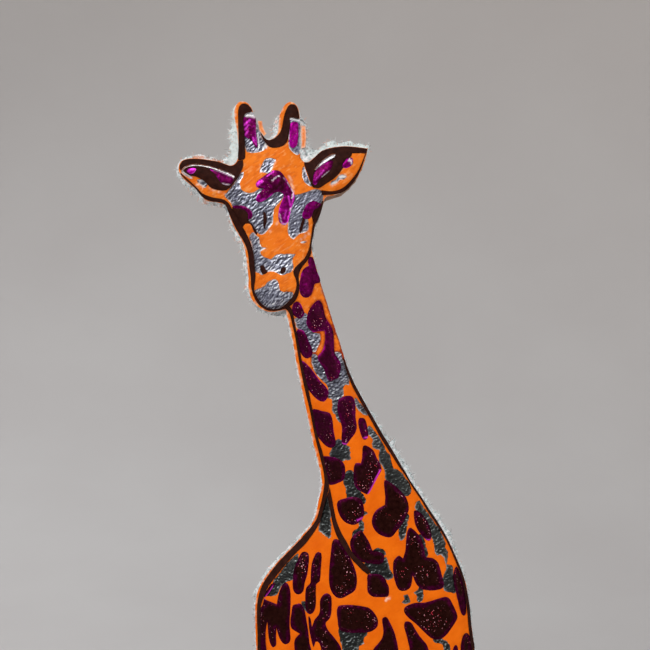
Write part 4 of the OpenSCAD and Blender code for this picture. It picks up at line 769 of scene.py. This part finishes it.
def purple_paint(node):
    """Paint of a purple foil: painted reflected light, painted highlights on the lips, and lower down dark
    ink with pink flecks of painted glint.
    """
    def paint(points, edge):
        x, z = points.T
        low = 1 - ramp(z, 256, 262)
        inky = low * (1 - 0.5 * ramp(z, 206, 236))
        ink = ramp(edge + 0.5 * noise(x / 1.8, z / 1.8, 41), 0.4, 1.1) * inky
        if node == "blaze":
            streak = ramp(noise(x / 1.4, z / 2.2, 44), 0.0, 0.6) * ramp(edge, 0.2, 0.7)
            ink = (0.2 + 0.5 * ramp(z, 282, 288)) * streak
        patch = ramp(noise(x / 2.6, z / 2.6, 42), -0.3, 0.25)
        patch = patch * ramp(0.5 + noise(x / 6, z / 6, 45), -0.1, 0.5)
        # Painted glints: where the pink flecks show
        fleck = patch * ramp(edge, 0.2, 0.6) * (0.3 + 0.7 * low)
        # Painted highlight along the foil's edge
        bright = 0.46 if node == "blaze" else 0.12 + 0.24 * ramp(z, 205, 250)
        lip_highlight = bright * np.exp(-edge / 0.22) * ramp(noise(x / 1.3, z / 1.3, 43), -0.2, 0.6)
        # Painted reflection: each foil's brightness, with the unlisted ones darker lower down
        base = REFLECTED_LIGHT.get(node, 0.04 + 0.13 * ramp(z, 205, 240))
        if node == "blaze":
            base = base + 0.16 * (1 - ramp(z, 282, 288))
        return {"glow": np.clip(base + lip_highlight, 0, 1), "ink": ink, "fleck": fleck,
                "pink": stroked(points, PINK_HIGHLIGHTS), "rim": stroked(points, WHITES)}
    return paint


def build_purple(node, mat):
    base, back = level(node), level(node, -1)

    def front(points, edge):
        x, z = points.T
        wave = 0.06 * noise(x / 0.9, z / 0.9, 51) + 0.03 * noise(x / 0.4, z / 0.4, 52)
        return base - relief(points) - 0.22 * (1 - np.exp(-edge / 0.5)) - wave * ramp(edge, 0, 0.4) + 0.06

    layer(node, front, padded_back(back), mat, "purple_foil", spacing=0.3, paint=purple_paint(node),
          coarse=1.2)


# ---- felt ----
TUFTS = [
    (-5, 299, 7, 2.6, 1.8), (-32.4, 297, 2.4, 4.5, 2.2), (-21.6, 303, 1.6, 3.4, 1.4),
    (-13.6, 301, 2, 4.6, 1.9), (-32, 304, 2, 5, 0.9), (-30.5, 273, 4, 11, 0.8), (-43, 290, 4, 3.4, 1.3),
    (-28, 260, 4, 4, 0.5), (-20, 256, 5, 2, 0.6), (9, 219, 7, 22, 1.2), (21, 200, 6, 14, 0.8),
    (-37, 285, 4, 3, 0.7), (-40, 296, 5, 2, 0.6), (-24, 190, 7, 8, 0.3),
]  # where the felt stands out past the figure: x, z, reach in x, reach in z, extra width in mm


def felt_width(points):
    """How far the felt stands out past the figure, in mm."""
    x, z = points.T
    left = (x < -8) | (z < 252)
    wide = np.where(left, 0.5 - 0.35 * ramp(z, 303, 309), 0.3) + sum(bump(points, *tuft) for tuft in TUFTS)
    bare = ramp(x, -12, -8) * ramp(z, 243, 249) * (1 - ramp(z, 292, 296))
    uneven = 1 + 0.38 * noise(x / 1.1, z / 1.1, 61) + 0.3 * noise(x / 0.5, z / 0.5, 62)
    return wide * (1 - 0.92 * bare) * uneven


def beyond(points, reach):
    """How far points lie outside both the figure and the skin; 0 within them."""
    out = np.full(len(points), float(reach))
    for loops in (figure, skin_main):
        out = np.minimum(out, np.where(inside(points, loops), 0, edge_distance(points, loops, reach)))
    return out


def grown(width):
    """Outlines of everything within width(points) of the figure."""
    everything = np.concatenate(figure)
    low, high = everything.min(0) - 5, everything.max(0) + 5
    low[1] = everything[:, 1].min()
    box = np.array([low, (high[0], low[1]), high, (low[0], high[1])])
    grid = hex_points(low, high, 0.42)
    flat, faces = triangulate([box], grid[beyond(grid, 4) < 3.9])
    keep = beyond(flat, 4) <= width(flat)
    made = []
    for ring in rings(faces[keep[faces].all(1)].tolist()):
        loop = flat[ring]
        area = 0.5 * (loop[:, 0] * np.roll(loop[:, 1], -1) - loop[:, 1] * np.roll(loop[:, 0], -1)).sum()
        if area > 50:
            for _ in range(2):
                loop = (np.roll(loop, 1, 0) + 2 * loop + np.roll(loop, -1, 0)) / 4
            made.append(loop)
    return made


def felt_fibres(loops, front_y, back_y):
    """Short loose fibres round the rim of the felt."""
    rng = np.random.default_rng(63)
    loop = np.concatenate(loops)
    out = np.concatenate([outward(part) for part in loops])
    wide = felt_width(loop)
    share = wide + 0.12
    pick = rng.choice(len(loop), FIBRES, p=share / share.sum())
    out, wide = out[pick], wide[pick]
    depth = rng.uniform(0, 1, FIBRES) ** 0.5
    root = loop[pick] + rng.normal(0, 0.2, (FIBRES, 2))
    root = root - out * (rng.uniform(0, 1, FIBRES) * wide)[:, None]
    root[:, 1] = np.maximum(root[:, 1], PLINTH_CLEAR)
    spin = rng.normal(0, 0.8, FIBRES)
    cos, sin = np.cos(spin), np.sin(spin)
    head = np.stack([out[:, 0] * cos - out[:, 1] * sin, out[:, 0] * sin + out[:, 1] * cos], 1)
    length = (0.2 + 0.4 * rng.random(FIBRES)) * (0.4 + np.minimum(wide, 1.8))
    steps = np.linspace(0, 1, 4)[None, :, None]
    flat = root[:, None] + head[:, None] * (length[:, None, None] * steps)
    flat += (rng.normal(0, 0.22, (FIBRES, 1, 2)) * steps**2) * length[:, None, None]
    sway = rng.normal(0, 0.25, (FIBRES, 1)) * steps[..., 0]
    y = back_y + (front_y - back_y) * depth[:, None] + sway
    spines = np.stack([flat[..., 0], y, flat[..., 1]], 2)
    points, faces = tubes(spines, rng.uniform(0.035, 0.07, FIBRES))
    kind = rng.random(FIBRES)
    warm_zone = ramp(flat[:, 0, 1], 255, 275) * 0.12 + 0.04
    speck = np.where(kind < 0.26, rng.uniform(0.3, 0.95, FIBRES), 0)
    warm = np.where(kind > 1 - warm_zone, 0.8, 0)
    each = len(points) // FIBRES
    return points, faces, {"speck": np.repeat(speck, each), "warm": np.repeat(warm, each),
                           "clean": np.zeros(len(points))}


def build_felt(mat):
    """White felt with a soft, piled rim, its loose fibres in the same mesh."""
    front_y, back_y = level("felt_ground"), level("felt_ground", -1)
    loops = grown(felt_width)

    def front(points, edge):
        x, z = points.T
        pile = 0.14 * noise(x / 0.6, z / 0.6, 64) + 0.1 * noise(x / 0.3, z / 0.3, 65)
        bare = ramp(beyond(points, 1), 0, 0.3)
        return front_y + 0.05 - relief(points) + (0.9 * np.exp(-edge / 0.5) - pile) * bare

    def paint(points, edge):
        x, z = points.T
        dirt = ramp(noise(x / 0.55, z / 0.55, 66), 0.25, 0.7) * (0.45 + 0.35 * ramp(z, 262, 285))
        under = bump(points, -20, 256.5, 7, 1.6, 0.7)
        warm = ramp(noise(x / 1.0, z / 1.4, 67), 0.45, 0.8) * ramp(z, 252, 262) * 0.7
        clean = ramp(z, 288, 293) * np.maximum(ramp(x, -14, -11), 1 - ramp(np.abs(x + 31.5), 1.2, 2.6))
        speck = np.clip(dirt + under * ramp(noise(x, z, 68), 0, 0.5), 0, 1) * (1 - 0.75 * clean)
        warm = np.maximum(warm * (1 - clean), stroked(points, BACKING))
        return {"speck": speck, "warm": warm, "clean": clean}

    layer("felt_ground", front, flat_back(back_y), mat, "white_felt", loops=loops, spacing=0.6,
          paint=paint, add=felt_fibres(loops, front_y - 0.1, back_y))


# ---- boards, tail and plinth ----
def gouges(points, size, seed):
    """Shallow scoops left by a gouge, about size mm wide and longer up the grain."""
    x, z = points.T
    shift = noise(x / 9, z / 14, seed + 1)
    row = np.abs((x / size + 0.7 * shift) % 1 - 0.5) * 2
    along = np.abs((z / (size * 2.4) + 0.5 * np.floor(x / size + 0.7 * shift) + shift) % 1 - 0.5) * 2
    return (1 - row**2) * (1 - along**2)


def carved_edge(front_soft, back_soft, seed):
    """Knife cuts and scoops round a board's edge, which is softened in front and behind."""
    def inset(points, t):
        x, z = points.T
        cuts = 0.22 * (0.5 + 0.5 * noise(x / 2.6 + 5 * t, z / 2.6 + 3 * t, seed))
        wave = 0.4 * gouges(np.stack([x + z, t * 14 + 0 * x], 1), 3.4, seed + 3)
        return cuts + wave + front_soft * (1 - ramp(t, 0, 0.16)) ** 2 + back_soft * ramp(t, 0.8, 1) ** 2
    return inset


def carved_back(size, depth, soft, seed):
    """Scoops all over a board's back, whose rim is rounded off by soft mm."""
    def carve(points, edge):
        return depth * gouges(points, size, seed) * ramp(edge, 0, 1) + soft * np.exp(-edge / 1.1)
    return carve


def build_boards(mat):
    slab("front_board", mat, "board_wood", carved_edge(0.1, 1.3, 71), carved_back(4.2, 0.45, 0.7, 72),
         steps=14)
    slab("rear_board", mat, "board_wood", carved_edge(0.1, 2.2, 75), carved_back(4.8, 0.6, 1.2, 76),
         steps=14, spacing=1.1)
    slab("tail", mat, "board_wood", carved_edge(0.2, 0.5, 79), carved_back(1.6, 0.15, 0.5, 80),
         steps=5, spacing=0.8)


def build_tuft(mat):
    """The tuft as strands, spread over the width of its outline."""
    rng = np.random.default_rng(85)
    loop = np.concatenate(outline("tail_tuft"))
    low, high = loop.min(0), loop.max(0)
    middle_y = (level("tail_tuft") + level("tail_tuft", -1)) / 2
    top, count, steps = high[1], 170, np.linspace(0, 1, 9)
    turn = rng.uniform(0, math.tau, count)
    reach = rng.uniform(0.35, 1, count)
    length = (high[1] - low[1]) * rng.uniform(0.72, 1.0, count)
    swell = np.sin(np.pi * np.clip(steps * 0.82 + 0.14, 0, 1))
    centre = (low[0] + high[0]) / 2 + np.interp(steps, (0, 0.5, 1), (0.35, -0.1, 0))
    x = centre + np.outer(np.cos(turn) * reach, swell) * (high[0] - low[0]) * 0.46
    y = middle_y + np.outer(np.sin(turn) * reach, swell) * 1.7
    z = top + 0.6 - np.outer(length, steps)
    wander = rng.normal(0, 0.22, (count, 1)) * steps * 1.5
    spines = np.stack([x + wander, y, z], 2)
    points, faces = tubes(spines, rng.uniform(0.28, 0.42, count), 5)
    store("tail_tuft", points, faces, mat, "dark_trim", ["tail_tuft"])


def round_box(width, depth, radius):
    """Corner-rounded rectangle in x and y, counter-clockwise from above."""
    arc = np.linspace(0, math.pi / 2, 9)
    made = []
    for k, (sx, sy) in enumerate(((1, 1), (-1, 1), (-1, -1), (1, -1))):
        turn = arc + k * math.pi / 2
        made.append(np.stack([sx * (width / 2 - radius) + radius * np.cos(turn),
                              sy * (depth / 2 - radius) + radius * np.sin(turn)], 1))
    loop = np.concatenate(made)
    ahead = np.roll(loop, -1, 0)
    count = np.maximum(1, np.round(np.linalg.norm(ahead - loop, axis=1) / 2.5)).astype(int)
    sides = zip(loop, ahead, count)
    return np.concatenate([a + (b - a) * (np.arange(n) / n)[:, None] for a, b, n in sides])


def moulded(node, mat, slot, width, depth, radius, profile, rough, seed):
    """A block swept round its sides: profile holds (inset, z) from the bottom up."""
    base = round_box(width, depth, radius)
    out, n = outward(base), len(base)
    points = []
    for inset, z in profile:
        wear = rough * noise(base[:, 0] / 5 + z, base[:, 1] / 5 + z, seed)
        ring = base - out * (inset + wear)[:, None]
        points.append(np.concatenate([ring, np.full((n, 1), z)], 1))
    faces = [(k * n + j, k * n + (j + 1) % n, (k + 1) * n + (j + 1) % n, (k + 1) * n + j)
             for k in range(len(profile) - 1) for j in range(n)]
    for k, way in ((0, -1), (len(profile) - 1, 1)):
        rim = [points[k][:, :2]]
        flat, tris = triangulate(rim, fill_points(rim, 3.0))
        start = sum(map(len, points))
        points.append(np.concatenate([flat, np.full((len(flat), 1), profile[k][1])], 1))
        faces += (tris[:, ::way] + start).tolist()
    return store(node, *welded(np.concatenate(points), faces), mat, slot, [node], smooth=40)


def build_plinth(wood, pad_mat):
    """The plinth, grooved and stepped, on its pad."""
    box = corners("base_plinth")[0]
    (half_width, half_depth, top), bottom = box.max(0), box[:, 2].min()
    moulded("base_plinth", wood, "plinth_wood", 2 * half_width, 2 * half_depth, 8,
            [(1.0, bottom), (0.3, bottom + 0.5), (0, bottom + 1.4), (0, 7.4), (0.5, 8), (0.9, 8.4),
             (0.5, 8.8), (0, 9.4), (0, 12.2), (0.25, 13.2), (0.9, 13.8), (2.2, 14), (3.2, 14.3),
             (3.9, 15), (4.1, 16), (4.1, 16.9), (4.4, 17.6), (5.1, top)], 0.08, 91)
    pad = corners("base_pad")[0].max(0)
    moulded("base_pad", pad_mat, "pad_felt", 2 * pad[0], 2 * pad[1], 6,
            [(0.5, 0), (0.1, 0.15), (0, 0.5), (0.15, 0.85), (0.4, 1)], 0.12, 93)


def hind_paint(points, edge):
    """The skin of the chest all over, with no painted highlight or shadow."""
    none = np.zeros(len(points))
    return {"low": none + 1, "pale": none, "burnt": none}


def build_hind(node, mat, slot, paint, fall):
    """A sheet on the rear board, whose rim curves back by fall mm."""
    base = level(node)

    def front(points, edge):
        x, z = points.T
        wave = 0.05 * noise(x / 1.2, z / 1.2, 95) * ramp(edge, 0, 0.4)
        return base - wave + fall * np.exp(-edge / 0.25)

    layer(node, front, flat_back(level(node, -1)), mat, slot, spacing=0.8, paint=paint)


# ---- scene ----
silver, orange, purple = silver_material(), orange_material(), purple_material()
dark, felt = dark_material(), felt_material()
board_wood = wood_material("carved_wood", colour(174, 120, 74), colour(118, 75, 44), 0.22, 0.5)
plinth_wood = wood_material("stained_wood", colour(84, 50, 32), colour(44, 24, 15), 0.2, 0.34)
dowel_wood = wood_material("dowel_wood", colour(214, 178, 128), colour(178, 138, 92), 0.3, 0.5)
pad_felt = plain_material("pad_felt", colour(40, 40, 42), colour(62, 60, 60), 3.0, 0.95)
screw_brass = plain_material("screw_brass", colour(190, 150, 80), colour(214, 176, 104), 0.8, 0.3,
                             metallic=1.0)

by_slot = {"plinth_wood": plinth_wood, "pad_felt": pad_felt, "screw_brass": screw_brass,
           "board_wood": board_wood, "dowel_wood": dowel_wood, "white_felt": felt,
           "silver_foil": silver, "orange_skin": orange, "purple_foil": purple, "dark_trim": dark}
for node, obj in frame["nodes"].items():
    for k in range(len(obj.data.materials)):
        obj.data.materials[k] = by_slot[slots[node]]

build_silver(silver)
build_skin(orange)
build_felt(felt)
build_boards(board_wood)
build_tuft(dark)
build_plinth(plinth_wood, pad_felt)
build_hind("hind_skin", orange, "orange_skin", hind_paint, 0.1)
build_hind("hind_spots", purple, "purple_foil", purple_paint("hind_spots"), 0.05)
for node, slot in slots.items():
    if slot == "dark_trim" and node != "tail_tuft":
        build_strip(node, dark, slot)
    elif slot == "purple_foil" and node != "hind_spots":
        build_purple(node, purple)


# ---- stage ----
def stage_bowl():
    """A pale floor that curves up into a round backdrop, with painted shade that darkens it upwards and to
    the right.
    """
    radius, wall, turn = 1.6, 2.6, 0.8
    profile = [(0, 0), (0.3, 0), (radius - turn, 0)]
    profile += [(radius - turn + turn * math.sin(a), turn - turn * math.cos(a))
                for a in np.linspace(0, math.pi / 2, 16)[1:]]
    profile += [(radius, wall)]
    sides = 96
    points = [(r * math.cos(t), r * math.sin(t), z) for r, z in profile
              for t in np.arange(sides) * math.tau / sides]
    around = [(j, (j + 1) % sides) for j in range(sides)]
    faces = [(i * sides + j, i * sides + n, (i + 1) * sides + n, (i + 1) * sides + j)
             for i in range(len(profile) - 1) for j, n in around]
    mesh = bpy.data.meshes.new("studio_bowl")
    mesh.from_pydata(points, [], faces)
    mesh.shade_smooth()
    p = Paint("studio_grey", roughness=0.95)
    cloud = p.ramp(p.noise(0.006, 4), (0.3, colour(199, 197, 197)), (0.7, colour(204, 203, 203)))
    # Painted shade: the grey darkens with height and towards +X
    spot = p.add("SeparateXYZ", {0: p.place})
    rise = p.maths("ADD", p.maths("MULTIPLY", spot.outputs[2], 0.9),
                   p.maths("MULTIPLY", spot.outputs[0], 0.25))
    p.set(base_color=p.mix(p.ramp(rise, (0.0, 0.0), (1.0, 1.0)), cloud, colour(187, 180, 175)))
    mesh.materials.append(p.mat)
    bowl = bpy.data.objects.new("studio_bowl", mesh)
    bpy.context.scene.collection.objects.link(bowl)


def softbox(name, at, aim, size, power):
    """A rectangular lamp of so many watts at one point, aimed at another."""
    light = bpy.data.lights.new(name, "AREA")
    light.shape, light.size, light.size_y = "RECTANGLE", size[0], size[1]
    light.energy = power
    lamp = bpy.data.objects.new(name, light)
    lamp.location = at
    lamp.rotation_euler = (Vector(aim) - Vector(at)).to_track_quat("-Z", "Y").to_euler()
    bpy.context.scene.collection.objects.link(lamp)


def make_camera():
    """Level, straight in front, framing the figure from its chest to above its horns."""
    lens, sensor, view_width = 90.0, 36.0, 162.5
    centre = (-8.75, 253.75)
    focus_y = -18.0  # view_width is measured on this plane
    away = view_width / 2 / (sensor / 2 / lens)
    data = bpy.data.cameras.new("camera")
    data.lens, data.sensor_width = lens, sensor
    camera = bpy.data.objects.new("camera", data)
    camera.location = (centre[0] * MM, (focus_y - away) * MM, centre[1] * MM)
    camera.rotation_euler = (math.radians(90), 0, 0)
    bpy.context.scene.collection.objects.link(camera)
    bpy.context.scene.camera = camera


stage_bowl()
make_camera()
softbox("key", (-0.35, -0.95, 0.95), (0, 0, 0.24), (0.9, 0.6), 10.5)
softbox("fill", (0.9, -0.8, 0.5), (0, 0, 0.2), (0.6, 0.8), 3)
softbox("back_left", (-0.8, 0.8, 0.9), (0, 0, 0.2), (0.6, 0.6), 4.5)
softbox("backdrop", (0.0, 0.5, 1.9), (0, 1.6, 0.4), (1.2, 0.5), 8)
world = bpy.data.worlds.new("studio")
world.use_nodes = True
world.node_tree.nodes["Background"].inputs["Color"].default_value = colour(200, 204, 210)
world.node_tree.nodes["Background"].inputs["Strength"].default_value = 0.26
bpy.context.scene.world = world
bpy.context.scene.view_settings.view_transform = "Standard"
